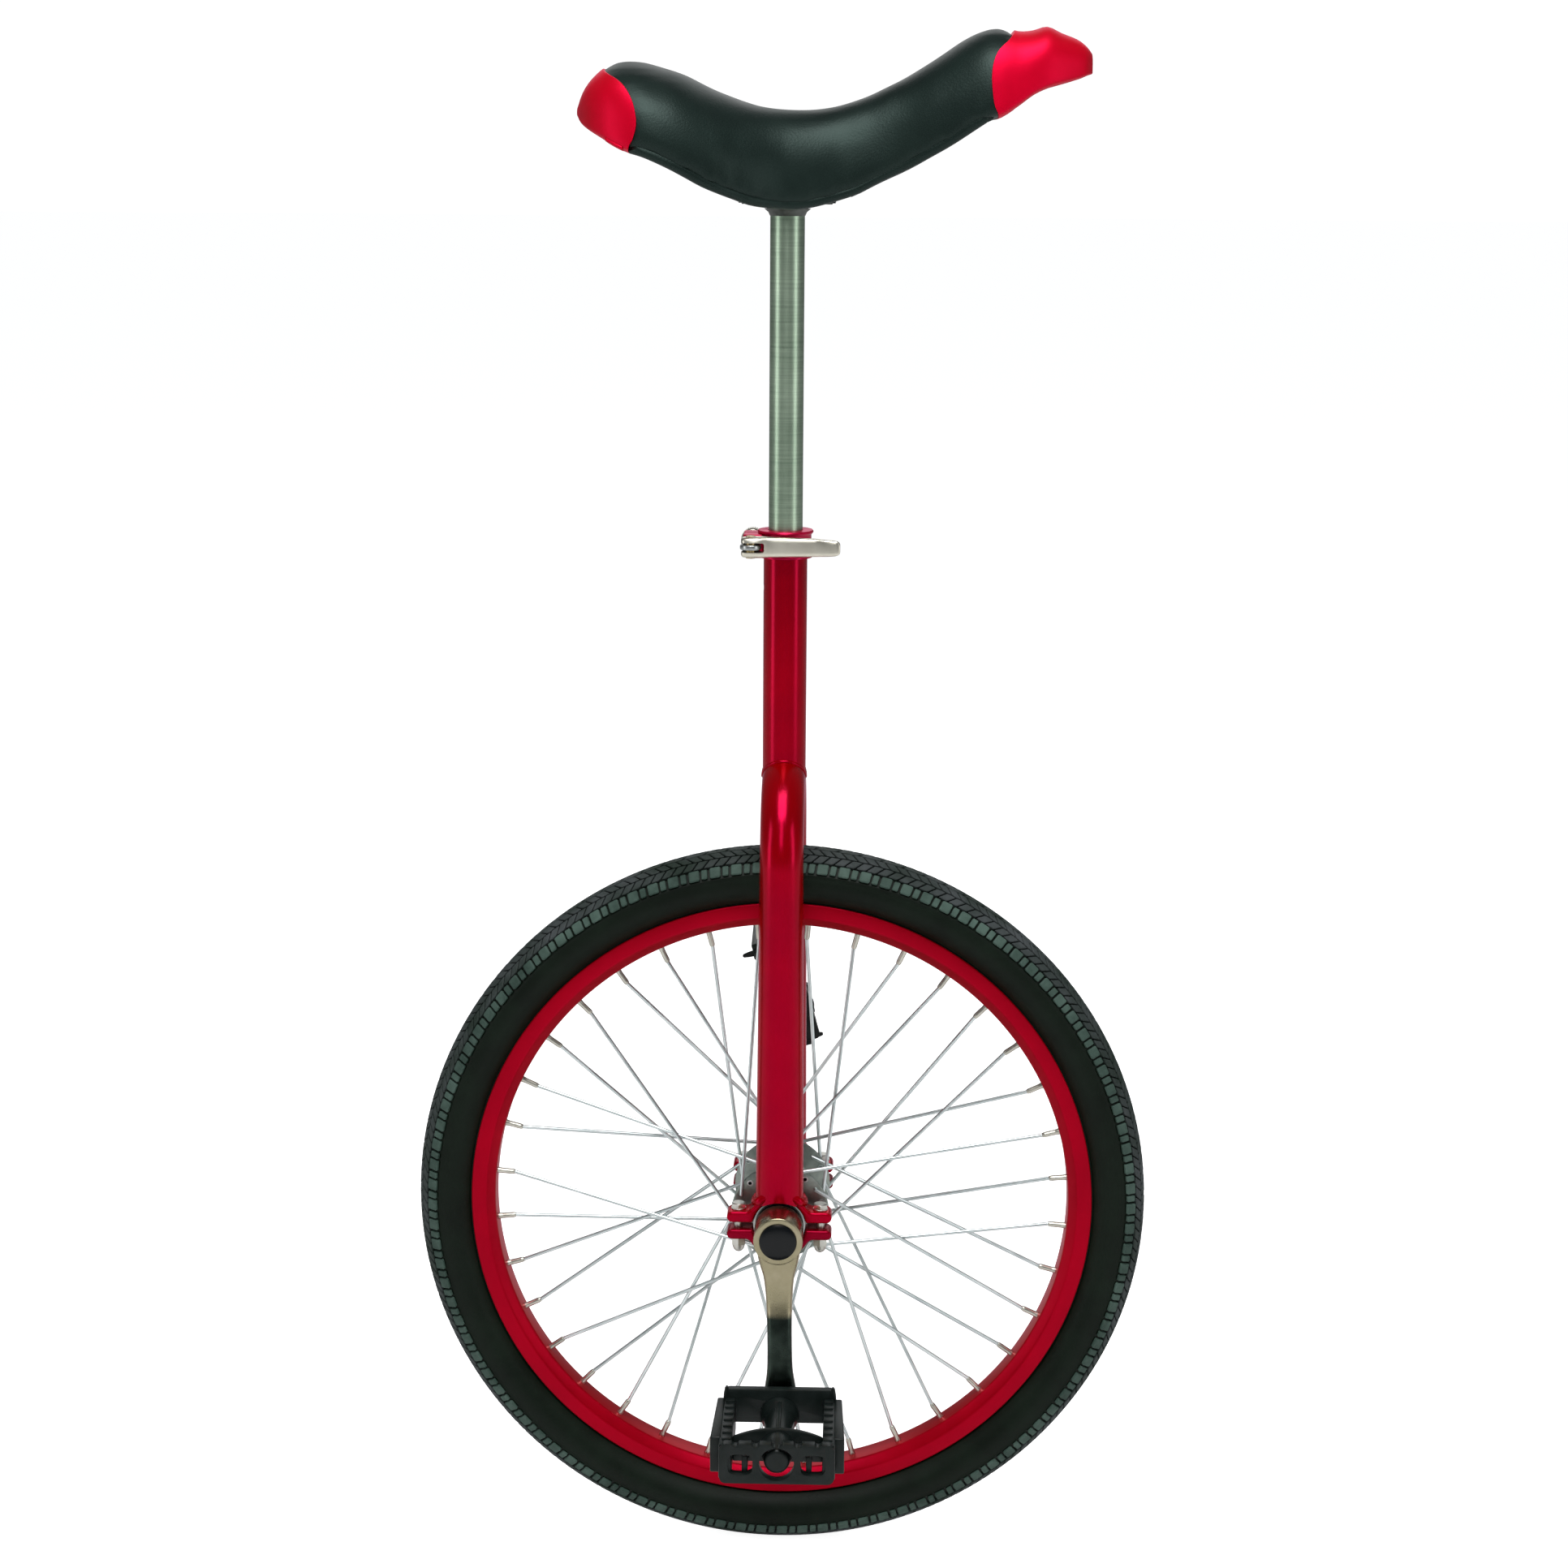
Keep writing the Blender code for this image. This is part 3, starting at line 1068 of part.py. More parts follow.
def cushion_places():
    """Where the cushion's and the base's sections lie."""
    return saddle_span(SADDLE_REAR_JOIN + GAP, SADDLE_FRONT_JOIN - GAP)


def underside(x):
    """The base's underside, straight between the base's sections."""
    places = cushion_places()
    number = 0
    while number < len(places) - 2 and places[number + 1] < x:
        number += 1
    share = (x - places[number]) / (places[number + 1] - places[number])
    here = along_saddle(places[number], 1)
    return here + share * (along_saddle(places[number + 1], 1) - here)


def make_base():
    """The saddle's moulded base, whose two tongues reach into the bumpers."""
    places = cushion_places()

    def tongue(x, extra):
        low = along_saddle(x, 1) + TONGUE_LIFT - extra
        return plate_ring(x, low, TONGUE_THICKNESS + 2 * extra, along_saddle(x, 3) - TONGUE_INSET + extra)

    rings = [tongue(BASE_REAR, 0.0), tongue(places[0], 0.0)]
    for x in places:
        rings.append(plate_ring(x, along_saddle(x, 1), BASE_THICKNESS, along_saddle(x, 3) - BASE_INSET))
    rings += [tongue(places[-1], 0.0), tongue(BASE_FRONT, 0.0)]
    base = lofted("saddle_base", rings, BLACK_PLASTIC, post_axis)
    holes = [Matrix.Translation(place) for place in saddle_bolt_places()]
    top = along_saddle(0, 1) + SADDLE_BOLT_GRIP
    use_tool(base, many_rods("base_threads", SADDLE_BOLT_RADIUS + GAP, -0.03, top, holes, post_axis, 8))
    pockets = []
    ends = (("rear_pocket", BASE_REAR - GAP, places[0]), ("front_pocket", BASE_FRONT + GAP, places[-1]))
    for name, tip, root in ends:
        pockets.append(lofted(name, [tongue(tip, GAP), tongue(root, GAP)], RED_PLASTIC, post_axis))
    return pockets


def plate_ring(x, low, thickness, half_width):
    """A flat section with a low and a high edge."""
    high = low + thickness
    return [(x, -half_width, low), (x, half_width, low), (x, half_width, high), (x, -half_width, high)]


def saddle_bolt_places():
    """The four bolts that hold the saddle to the post's plate."""
    return [(x, y, 0) for x in (-SADDLE_BOLT_X, SADDLE_BOLT_X) for y in (-SADDLE_BOLT_Y, SADDLE_BOLT_Y)]


def make_saddle():
    """The cushion, its base, the two bumpers and the hollow lifting handle at the front."""
    rear_pocket, front_pocket = make_base()
    saddle_solid("saddle_cushion", cushion_places(), BASE_THICKNESS + GAP, VINYL)
    first = SADDLE_STATIONS[0][0]
    last = SADDLE_STATIONS[-1][0]
    rear = saddle_solid("rear_bumper", saddle_span(first, SADDLE_REAR_JOIN, 0.006), 0.0, RED_PLASTIC)
    front = saddle_solid("front_bumper", saddle_span(SADDLE_FRONT_JOIN, last, 0.009), 0.0, RED_PLASTIC)
    use_tool(rear, rear_pocket)
    use_tool(front, front_pocket)
    rings = []
    for x in saddle_span(HANDLE_REAR, HANDLE_FRONT, 0.012):
        roof = along_saddle(x, 2) - HANDLE_WALL
        rings.append(saddle_ring(x, along_saddle(x, 1) - 0.02, roof, along_saddle(x, 3) - HANDLE_WALL))
    use_tool(front, lofted("handle_hollow", rings, RED_PLASTIC, post_axis))


def make_post():
    """The seat post, the curved plate on its top and the bolts up into the saddle's base."""
    low = POST_TOP - POST_LENGTH - SADDLE_HEIGHT
    top = POST_TOP - SADDLE_HEIGHT
    inner = POST_RADIUS - POST_WALL
    loop = [(inner, low), (POST_RADIUS, low), (POST_RADIUS, top), (inner, top)]
    turned("seat_post", loop, STEEL, post_axis, segments=24)
    rings = []
    inside = [x for x in cushion_places() if abs(x) < PLATE_HALF_LENGTH - GAP]
    for x in (-PLATE_HALF_LENGTH, *inside, PLATE_HALF_LENGTH):
        under = underside(x) - GAP - PLATE_THICKNESS
        rings.append(plate_ring(x, under, PLATE_THICKNESS, PLATE_HALF_WIDTH))
    plate = lofted("saddle_plate", rings, STEEL, post_axis)
    holes = [Matrix.Translation(place) for place in saddle_bolt_places()]
    use_tool(plate, many_rods("plate_holes", SADDLE_BOLT_RADIUS + GAP, -0.03, 0.03, holes, post_axis, 8))
    tip = along_saddle(0, 1) + SADDLE_BOLT_GRIP - GAP
    for number, (x, y, _) in enumerate(saddle_bolt_places(), start=1):
        lowest = min(underside(x - SADDLE_HEAD_RADIUS), underside(x + SADDLE_HEAD_RADIUS))
        face = lowest - PLATE_THICKNESS - 2 * GAP
        bolt = [
            (0, face - SADDLE_HEAD_HEIGHT),
            (SADDLE_HEAD_RADIUS, face - SADDLE_HEAD_HEIGHT),
            (SADDLE_HEAD_RADIUS, face),
            (SADDLE_BOLT_RADIUS, face),
            (SADDLE_BOLT_RADIUS, tip),
            (0, tip),
        ]
        place = Matrix.Translation((x, y, 0))
        turned(f"saddle_bolt_{number}", bolt, ZINC, post_axis, place, 12, ring=False)


make_fork()
make_seat_tube()
make_axle()
make_hub()
make_rim()
make_rim_tape()
make_tyre()
make_inner_tube()
for side_name, side_sign in SIDES.items():
    make_holder(side_name, side_sign)
    make_bearing(side_name, side_sign)
    make_spokes(side_name, side_sign)
    make_crank(side_name, side_sign)
make_collar()
make_skewer()
make_saddle()
make_post()
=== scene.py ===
"""A unicycle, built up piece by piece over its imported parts.

+X is forward, to the end of the saddle with the handle. +Y is the rider's left and +Z is up.
"""

import math

import bmesh
import bpy
from mathutils import Matrix, Vector


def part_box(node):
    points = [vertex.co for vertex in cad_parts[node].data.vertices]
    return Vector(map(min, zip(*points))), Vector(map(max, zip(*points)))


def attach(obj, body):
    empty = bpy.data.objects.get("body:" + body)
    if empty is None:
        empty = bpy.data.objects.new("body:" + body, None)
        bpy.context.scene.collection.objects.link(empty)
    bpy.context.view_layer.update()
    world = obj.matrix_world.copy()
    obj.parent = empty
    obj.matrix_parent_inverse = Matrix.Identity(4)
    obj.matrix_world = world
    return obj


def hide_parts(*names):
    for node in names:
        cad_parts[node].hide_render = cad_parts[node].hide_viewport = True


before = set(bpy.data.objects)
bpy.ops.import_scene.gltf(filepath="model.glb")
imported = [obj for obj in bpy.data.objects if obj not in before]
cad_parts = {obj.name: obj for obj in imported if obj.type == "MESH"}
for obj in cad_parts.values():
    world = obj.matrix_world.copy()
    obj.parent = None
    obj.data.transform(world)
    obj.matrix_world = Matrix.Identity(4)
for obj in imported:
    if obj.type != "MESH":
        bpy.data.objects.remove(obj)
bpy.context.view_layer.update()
HUB = (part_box("hub_shell")[0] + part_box("hub_shell")[1]) / 2
RIGHT = -1
LEFT = 1
SIDES = {"right": RIGHT, "left": LEFT}


# ---------------------------------------------------------------- camera, floor and lights
# A long lens stands almost two metres to the right of the wheel, as high as the saddle, and looks
# down at the frame. The floor is a plain pale sheet. Soft lamps stand above, in front, behind and
# at both ends.
CAMERA_PLACE = (0.0488, -1.9294, 0.953)
CAMERA_ASIDE = 1.45
CAMERA_DROP = 12.14
CAMERA_ROLL = 0.36
FLOOR_SEEN = 0.90
FLOOR_CAST = 0.12
LAMP_AIM = Vector((0, 0, 0.5))
lens = bpy.data.cameras.new("camera")
lens.lens = 68.1
lens.sensor_width = 36
lens.clip_end = 100
camera = bpy.data.objects.new("camera", lens)
looking = Matrix.Rotation(math.radians(CAMERA_ASIDE), 4, "Z")
looking = looking @ Matrix.Rotation(math.radians(90 - CAMERA_DROP), 4, "X")
looking = looking @ Matrix.Rotation(math.radians(CAMERA_ROLL), 4, "Z")
camera.matrix_world = Matrix.Translation(CAMERA_PLACE) @ looking
bpy.context.scene.collection.objects.link(camera)
bpy.context.scene.camera = camera
bpy.context.scene.view_settings.view_transform = "Standard"


def shader_of(material):
    """The material's main shader."""
    return material.node_tree.nodes["Principled BSDF"]


def plain_finish(name, colour, roughness, metallic=0.0, **sockets):
    """A finish with its even values set straight on the shader."""
    made = bpy.data.materials.new(name)
    made.use_nodes = True
    shader = shader_of(made)
    shader.inputs["Base Color"].default_value = (*colour, 1)
    shader.inputs["Roughness"].default_value = roughness
    shader.inputs["Metallic"].default_value = metallic
    for socket, value in sockets.items():
        shader.inputs[socket.replace("_", " ")].default_value = value
    return made


def clear_selection():
    """Leave nothing selected, so that an operator acts only on what comes next."""
    if bpy.context.object is not None and bpy.context.object.mode != "OBJECT":
        bpy.ops.object.mode_set(mode="OBJECT")
    bpy.ops.object.select_all(action="DESELECT")


clear_selection()
bpy.ops.mesh.primitive_plane_add(size=80, location=(0, 0, -0.0006))
floor = bpy.context.object
floor.name = "floor"
pale_floor = plain_finish("pale_floor", (0.85, 0.85, 0.85), 0.9)
shader_of(pale_floor).inputs["Emission Color"].default_value = (1, 1, 1, 1)
path = pale_floor.node_tree.nodes.new("ShaderNodeLightPath")
glow = pale_floor.node_tree.nodes.new("ShaderNodeMapRange")
glow.inputs["To Min"].default_value = FLOOR_CAST
glow.inputs["To Max"].default_value = FLOOR_SEEN
pale_floor.node_tree.links.new(path.outputs["Is Camera Ray"], glow.inputs["Value"])
pale_floor.node_tree.links.new(glow.outputs["Result"], shader_of(pale_floor).inputs["Emission Strength"])
floor.data.materials.append(pale_floor)


def soft_lamp(name, place, size, power):
    """A large rectangular lamp turned towards the frame."""
    lamp = bpy.data.lights.new(name, "AREA")
    lamp.shape = "RECTANGLE"
    lamp.size, lamp.size_y = size
    lamp.energy = power
    stand = bpy.data.objects.new(name, lamp)
    course = LAMP_AIM - Vector(place)
    stand.matrix_world = Matrix.Translation(place) @ course.to_track_quat("-Z", "Y").to_matrix().to_4x4()
    bpy.context.scene.collection.objects.link(stand)


soft_lamp("top_lamp", (0.0, -0.9, 2.7), (1.6, 1.6), 52)
soft_lamp("front_lamp", (-0.1, -2.6, 2.4), (0.8, 2.4), 18)
soft_lamp("left_lamp", (-2.3, -1.0, 0.9), (0.7, 1.8), 10)
soft_lamp("right_lamp", (2.3, -1.2, 1.0), (0.7, 1.8), 10)
soft_lamp("back_lamp", (0.0, 2.8, 1.8), (2.4, 1.6), 14)

world = bpy.data.worlds.new("studio")
bpy.context.scene.world = world
world.use_nodes = True
nodes = world.node_tree.nodes
links = world.node_tree.links
seen = nodes["Background"]
seen.inputs["Color"].default_value = (1, 1, 1, 1)
seen.inputs["Strength"].default_value = 1.05
around = nodes.new("ShaderNodeBackground")
around.inputs["Color"].default_value = (0.9, 0.95, 1.0, 1)
around.inputs["Strength"].default_value = 0.12
path = nodes.new("ShaderNodeLightPath")
choice = nodes.new("ShaderNodeMixShader")
links.new(path.outputs["Is Camera Ray"], choice.inputs[0])
links.new(around.outputs[0], choice.inputs[1])
links.new(seen.outputs[0], choice.inputs[2])
links.new(choice.outputs[0], nodes["World Output"].inputs["Surface"])


# ---------------------------------------------------------------- tyre
# A 20 inch tyre: a moulded rubber casing with smooth sidewalls and a raised bead line, and a
# tread of small blocks, square on the shoulders and slanted between them.
TYRE_RADIUS = HUB.z
BEAD_RADIUS = 0.203
TYRE_HALF_WIDTH = 0.0222
TREAD_DEPTH = 0.0024
TREAD_PITCHES = 104
SHOULDER_END = 43
SECTION_RISE = 0.0234
SECTION_FALL = 0.0162
BLOCK_PROUD = 0.0009


def add_nodes(material):
    """The material's nodes and links, and object coordinates to start a pattern from."""
    tree = material.node_tree
    coords = tree.nodes.new("ShaderNodeTexCoord")
    return tree.nodes, tree.links, coords.outputs["Object"]


def noise(nodes, links, vector, scale, detail=3.0, roughness=0.5):
    """A noise pattern."""
    made = nodes.new("ShaderNodeTexNoise")
    made.inputs["Scale"].default_value = scale
    made.inputs["Detail"].default_value = detail
    made.inputs["Roughness"].default_value = roughness
    links.new(vector, made.inputs["Vector"])
    return made.outputs["Fac"]


def ramp(nodes, links, value, stops):
    """Colours along a value."""
    made = nodes.new("ShaderNodeValToRGB")
    band = made.color_ramp
    for element, (place, colour) in zip(band.elements, (stops[0], stops[-1])):
        element.position = place
        element.color = (*colour, 1)
    for place, colour in stops[1:-1]:
        band.elements.new(place).color = (*colour, 1)
    links.new(value, made.inputs["Fac"])
    return made.outputs["Color"]


def spread(nodes, links, value, low, high):
    """A value from 0 to 1 mapped to a range."""
    made = nodes.new("ShaderNodeMapRange")
    made.inputs["To Min"].default_value = low
    made.inputs["To Max"].default_value = high
    links.new(value, made.inputs["Value"])
    return made.outputs["Result"]


def bump(material, height, strength, distance):
    """Relief on the material's surface from a height pattern."""
    made = material.node_tree.nodes.new("ShaderNodeBump")
    made.inputs["Strength"].default_value = strength
    made.inputs["Distance"].default_value = distance
    links = material.node_tree.links
    links.new(height, made.inputs["Height"])
    links.new(made.outputs["Normal"], shader_of(material).inputs["Normal"])


def rubber_finish(name, dark, pale, roughness):
    """Moulded rubber: faint cloudy bloom and a fine pitted grain."""
    made = plain_finish(name, dark, roughness, 0.0, Specular_IOR_Level=0.15)
    nodes, links, place = add_nodes(made)
    cloud = noise(nodes, links, place, 34, 5.0, 0.6)
    links.new(ramp(nodes, links, cloud, ((0.35, dark), (0.72, pale))), shader_of(made).inputs["Base Color"])
    grain = noise(nodes, links, place, 1500, 2.0)
    gloss = spread(nodes, links, cloud, roughness - 0.08, roughness + 0.1)
    links.new(gloss, shader_of(made).inputs["Roughness"])
    bump(made, grain, 0.25, 0.0004)
    return made


def pick(piece):
    """Select one piece alone and make it the one that operators act on."""
    clear_selection()
    piece.select_set(True)
    bpy.context.view_layer.objects.active = piece


def outward(piece):
    """Turn all of a piece's faces outwards and leave edit mode."""
    bpy.ops.object.mode_set(mode="EDIT")
    bpy.ops.mesh.select_all(action="SELECT")
    bpy.ops.mesh.normals_make_consistent(inside=False)
    bpy.ops.object.mode_set(mode="OBJECT")
    return piece


def turned(name, profile, segments=64, ring=False):
    """Draw a circle up through each (radius, height) about Z, and cap it or close it on itself."""
    clear_selection()
    radius, height = profile[0]
    bpy.ops.mesh.primitive_circle_add(vertices=segments, radius=radius, location=(0, 0, 0))
    piece = bpy.context.object
    piece.name = name
    bpy.ops.object.mode_set(mode="EDIT")
    bpy.ops.transform.translate(value=(0, 0, height))
    for next_radius, next_height in profile[1:]:
        step = (0, 0, next_height - height)
        bpy.ops.mesh.extrude_edges_move(TRANSFORM_OT_translate={"value": step})
        share = next_radius / radius
        bpy.ops.transform.resize(value=(share, share, 1), center_override=(0, 0, next_height))
        radius, height = next_radius, next_height
    if ring:
        bpy.ops.mesh.select_all(action="DESELECT")
        bpy.ops.mesh.select_mode(type="EDGE")
        bpy.ops.mesh.select_non_manifold()
        bpy.ops.mesh.bridge_edge_loops()
    else:
        bpy.ops.mesh.select_all(action="SELECT")
        bpy.ops.mesh.fill_holes(sides=0)
    return outward(piece)


def settle(piece, place, material=None, angle=35):
    """Move a piece's mesh to its place, give it its finish and smooth it up to an angle."""
    piece.data.transform(place)
    pick(piece)
    bpy.ops.object.shade_smooth_by_angle(angle=math.radians(angle))
    if material is not None:
        piece.data.materials.clear()
        piece.data.materials.append(material)
    return piece


def facing(side):
    """Turns +Z outwards on one side of the wheel."""
    return Matrix.Rotation(math.radians(-90 * side), 4, "X")


def fillet(corners, radius, steps=3):
    """Round the inner corners of a run of points."""
    run = [Vector(corner) for corner in corners]
    made = [tuple(run[0])]
    for before, corner, after in zip(run, run[1:], run[2:]):
        back = before - corner
        ahead = after - corner
        reach = min(radius, 0.45 * back.length, 0.45 * ahead.length)
        start = corner + back.normalized() * reach
        end = corner + ahead.normalized() * reach
        for step in range(steps + 1):
            t = step / steps
            made.append(tuple((1 - t) ** 2 * start + 2 * t * (1 - t) * corner + t * t * end))
    made.append(tuple(run[-1]))
    return made


def casing_point(angle, lift=0.0):
    """A point on the casing's section: 90 degrees is the middle of the tread, 0 the widest place."""
    middle = BEAD_RADIUS + SECTION_RISE
    turn = math.radians(angle)
    tall = TYRE_RADIUS - TREAD_DEPTH - middle if angle > 0 else SECTION_FALL
    return (middle + (tall + lift) * math.sin(turn), (TYRE_HALF_WIDTH - BLOCK_PROUD + lift) * math.cos(turn))


casing_half = [casing_point(angle) for angle in range(90, 24, -6)]
casing_half += [casing_point(22, 0.0003), casing_point(20, 0.0005), casing_point(18, 0.0)]
casing_half += [casing_point(angle) for angle in range(12, -42, -6)]
casing_half += [(BEAD_RADIUS + 0.0100, 0.0135), (BEAD_RADIUS + 0.0093, 0.0113), (BEAD_RADIUS + 0.001, 0.0110)]
casing_half += [(BEAD_RADIUS + 0.001, 0.0082), (BEAD_RADIUS + 0.011, 0.0105)]
casing_half += [(BEAD_RADIUS + SECTION_RISE, 0.0186), (BEAD_RADIUS + 0.035, 0.0135)]
casing_half += [(BEAD_RADIUS + 0.0395, 0.005)]
casing_profile = casing_half + [(radius, -out) for radius, out in reversed(casing_half[1:])]
casing = turned("tyre_casing", casing_profile, 180, ring=True)
wheel_place = Matrix.Translation(HUB) @ facing(LEFT)
sidewall_rubber = rubber_finish("sidewall_rubber", (0.0015, 0.0045, 0.0018), (0.004, 0.010, 0.005), 0.46)
settle(casing, wheel_place, sidewall_rubber)


def tread_block(across, around, slant, height=TREAD_DEPTH):
    """A cube laid on the casing between two section angles and two places round the wheel."""
    bpy.ops.mesh.primitive_cube_add(size=1, location=(0, 0, 0))
    made = bpy.context.object
    bpy.ops.object.mode_set(mode="EDIT")
    bpy.ops.mesh.bevel(offset=0.10, segments=1, affect="EDGES")
    bpy.ops.object.mode_set(mode="OBJECT")
    for corner in made.data.vertices:
        share = corner.co + Vector((0.5, 0.5, 0.5))
        section = across[0] + (across[1] - across[0]) * share.x
        along = around[0] + (around[1] - around[0]) * share.y + slant * (share.x - 0.5)
        lift = height if share.z > 0.99 else (height - 0.0004 if share.z > 0.5 else -0.0012)
        radius, out = casing_point(section, lift)
        turn = along / TYRE_RADIUS
        corner.co = (radius * math.cos(turn), radius * math.sin(turn), out)
    made.select_set(True)
    return made


def repeated_round(piece, copies, axis):
    """Repeat a mesh round an axis."""
    pick(piece)
    bpy.ops.object.mode_set(mode="EDIT")
    bpy.ops.mesh.select_all(action="SELECT")
    share = 1 - 1 / copies
    bpy.ops.mesh.spin(steps=copies - 1, dupli=True, angle=2 * math.pi * share, center=(0, 0, 0), axis=axis)
    bpy.ops.object.mode_set(mode="OBJECT")
    return piece


clear_selection()
pitch = 2 * math.pi * TYRE_RADIUS / TREAD_PITCHES
blocks = []
# The square shoulder blocks get paler tones than the other blocks: a painted highlight that stands in for the
# sheen the lamps leave on their tops.
shoulder_highlight_rubber = rubber_finish("shoulder_highlight_rubber", (0.026, 0.048, 0.038), (0.085, 0.135, 0.112), 0.62)
tread_rubber = rubber_finish("tread_rubber", (0.016, 0.026, 0.020), (0.066, 0.074, 0.078), 0.62)
for way, shift in ((1, 0.0), (-1, pitch / 2)):
    for across, around, slant in (
        ((23, 42.5), (0.10, 0.60), 0.0006),
        ((24, 41), (0.70, 0.98), 0.0006),
        ((44.5, 60), (0.02, 0.44), 0.0050),
        ((44.5, 60), (0.52, 0.94), 0.0050),
        ((62.5, 78), (-0.20, 0.22), -0.0044),
        ((62.5, 78), (0.30, 0.72), -0.0044),
        ((80.5, 89.2), (0.05, 0.90), 0.0022),
    ):
        section = across if way > 0 else (180 - across[1], 180 - across[0])
        places = [shift + pitch * share for share in around]
        made = tread_block(section, places, slant * way)
        made.data.materials.append(shoulder_highlight_rubber if max(across) < SHOULDER_END else tread_rubber)
        blocks.append(made)
for made in blocks:
    made.select_set(True)
bpy.context.view_layer.objects.active = blocks[0]
bpy.ops.object.join()
tread = bpy.context.object
tread.name = "tyre_tread"
tread.matrix_world = Matrix.Identity(4)
repeated_round(outward(tread), TREAD_PITCHES, (0, 0, 1))
settle(tread, wheel_place, None, 25)
for piece in (casing, tread):
    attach(piece, "wheel")
    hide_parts("tyre")


# ---------------------------------------------------------------- rim
# An aluminium channel rolled and welded, then painted the frame's red: bead edges turned over,
# straight flanks and a rounded nose with a hole for each nipple.
RIM_NOSE = 0.1955
RIM_EDGE = 0.2115
RIM_HALF_WIDTH = 0.0137
RIM_FLANGE = 0.0021
RIM_BED = 0.0022


def gloss_red(name, deep, bright, roughness, peel, highlight):
    """Red gloss paint: faint unevenness in its depth, and the soft ripple that spraying leaves."""
    made = plain_finish(name, deep, roughness, 0.4, Specular_IOR_Level=0.85)
    shader = shader_of(made)
    shader.inputs["Specular Tint"].default_value = (*highlight, 1)
    nodes, links, place = add_nodes(made)
    depth = noise(nodes, links, place, 26, 4.0)
    links.new(ramp(nodes, links, depth, ((0.3, deep), (0.75, bright))), shader.inputs["Base Color"])
    ripple = noise(nodes, links, place, 420, 1.0)
    links.new(spread(nodes, links, depth, roughness, roughness + 0.07), shader.inputs["Roughness"])
    bump(made, ripple, peel, 0.0004)
    return made


rim_half = fillet(
    [
        (RIM_NOSE, 0.0001),
        (RIM_NOSE, 0.0088),
        (RIM_NOSE + 0.0062, RIM_HALF_WIDTH),
        (RIM_EDGE, RIM_HALF_WIDTH),
        (RIM_EDGE, RIM_HALF_WIDTH - RIM_FLANGE),
        (BEAD_RADIUS, RIM_HALF_WIDTH - RIM_FLANGE),
        (BEAD_RADIUS, 0.0086),
        (RIM_NOSE + RIM_BED, 0.0070),
        (RIM_NOSE + RIM_BED, 0.0001),
    ],
    0.0012,
)
rim_profile = rim_half + [(radius, -out) for radius, out in reversed(rim_half)]
rim = turned("rim_channel", rim_profile, 216, ring=True)
rim_paint = gloss_red("rim_paint", (0.33, 0.0, 0.003), (0.41, 0.0, 0.005), 0.30, 0.05, (1.0, 0.05, 0.28))
settle(rim, wheel_place, rim_paint)
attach(rim, "wheel")
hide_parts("rim")


# ---------------------------------------------------------------- rim tape, inner tube and valve
# The butyl tube stays as it is inside the tyre, over a thin rubber strip in the rim's bed. The
# valve stem ends in a ribbed black cap between two spokes at the top of the wheel.
butyl = rubber_finish("butyl_rubber", (0.009, 0.009, 0.009), (0.02, 0.02, 0.02), 0.5)
black_gloss = plain_finish("moulded_black", (0.002, 0.003, 0.004), 0.24, 0.0, Specular_IOR_Level=0.28)
nodes, links, place = add_nodes(black_gloss)
bump(black_gloss, noise(nodes, links, place, 900, 2.0), 0.08, 0.0003)


def refinish(node, material):
    """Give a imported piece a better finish."""
    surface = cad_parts[node].data.materials
    if len(surface) == 0:
        surface.append(material)
    for slot in range(len(surface)):
        surface[slot] = material


refinish("inner_tube", butyl)
tape_under = RIM_NOSE + 0.0024
tape_over = RIM_NOSE + 0.0032
tape_profile = [(tape_under, -0.0066), (tape_under, 0.0066), (tape_over, 0.0060), (tape_over, -0.0060)]
tape = turned("rim_tape_strip", tape_profile, 120, ring=True)
settle(tape, wheel_place, butyl)
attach(tape, "wheel")
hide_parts("rim_tape")
cap_low, cap_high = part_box("valve_cap")
cap_height = cap_high.z - cap_low.z
cap_profile = [(0.0012, 0), (0.0040, 0), (0.0046, 0.002), (0.0046, cap_height), (0.0034, cap_height)]
cap = turned("ribbed_valve_cap", fillet(cap_profile, 0.0008), 36)
for corner in cap.data.vertices:
    if round(math.degrees(math.atan2(corner.co.y, corner.co.x)) / 10) % 2 and corner.co.z > 0.0015:
        corner.co.xy *= 0.93
settle(cap, Matrix.Translation((0, 0, cap_low.z)), black_gloss, 20)
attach(cap, "wheel")
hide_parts("valve_cap")


# ---------------------------------------------------------------- hub and axle
# A turned steel hub shell with a thick flange at each end, over a live axle. The axle stays as
# it is, in ground steel.
def worn_steel(name, dark, pale, roughness, grain=0.0, grain_axis=None):
    """Bare or plated steel: cloudy tone, uneven gloss and fine scratches along one direction."""
    made = plain_finish(name, dark, roughness, 1.0)
    shader = shader_of(made)
    nodes, links, place = add_nodes(made)
    cloud = noise(nodes, links, place, 60, 4.0, 0.6)
    links.new(ramp(nodes, links, cloud, ((0.3, dark), (0.7, pale))), shader.inputs["Base Color"])
    links.new(spread(nodes, links, cloud, roughness - 0.07, roughness + 0.09), shader.inputs["Roughness"])
    if grain:
        stretch = nodes.new("ShaderNodeMapping")
        stretch.inputs["Scale"].default_value = grain_axis
        links.new(place, stretch.inputs["Vector"])
        bump(made, noise(nodes, links, stretch.outputs["Vector"], 900, 3.0, 0.7), grain, 0.0002)
    return made


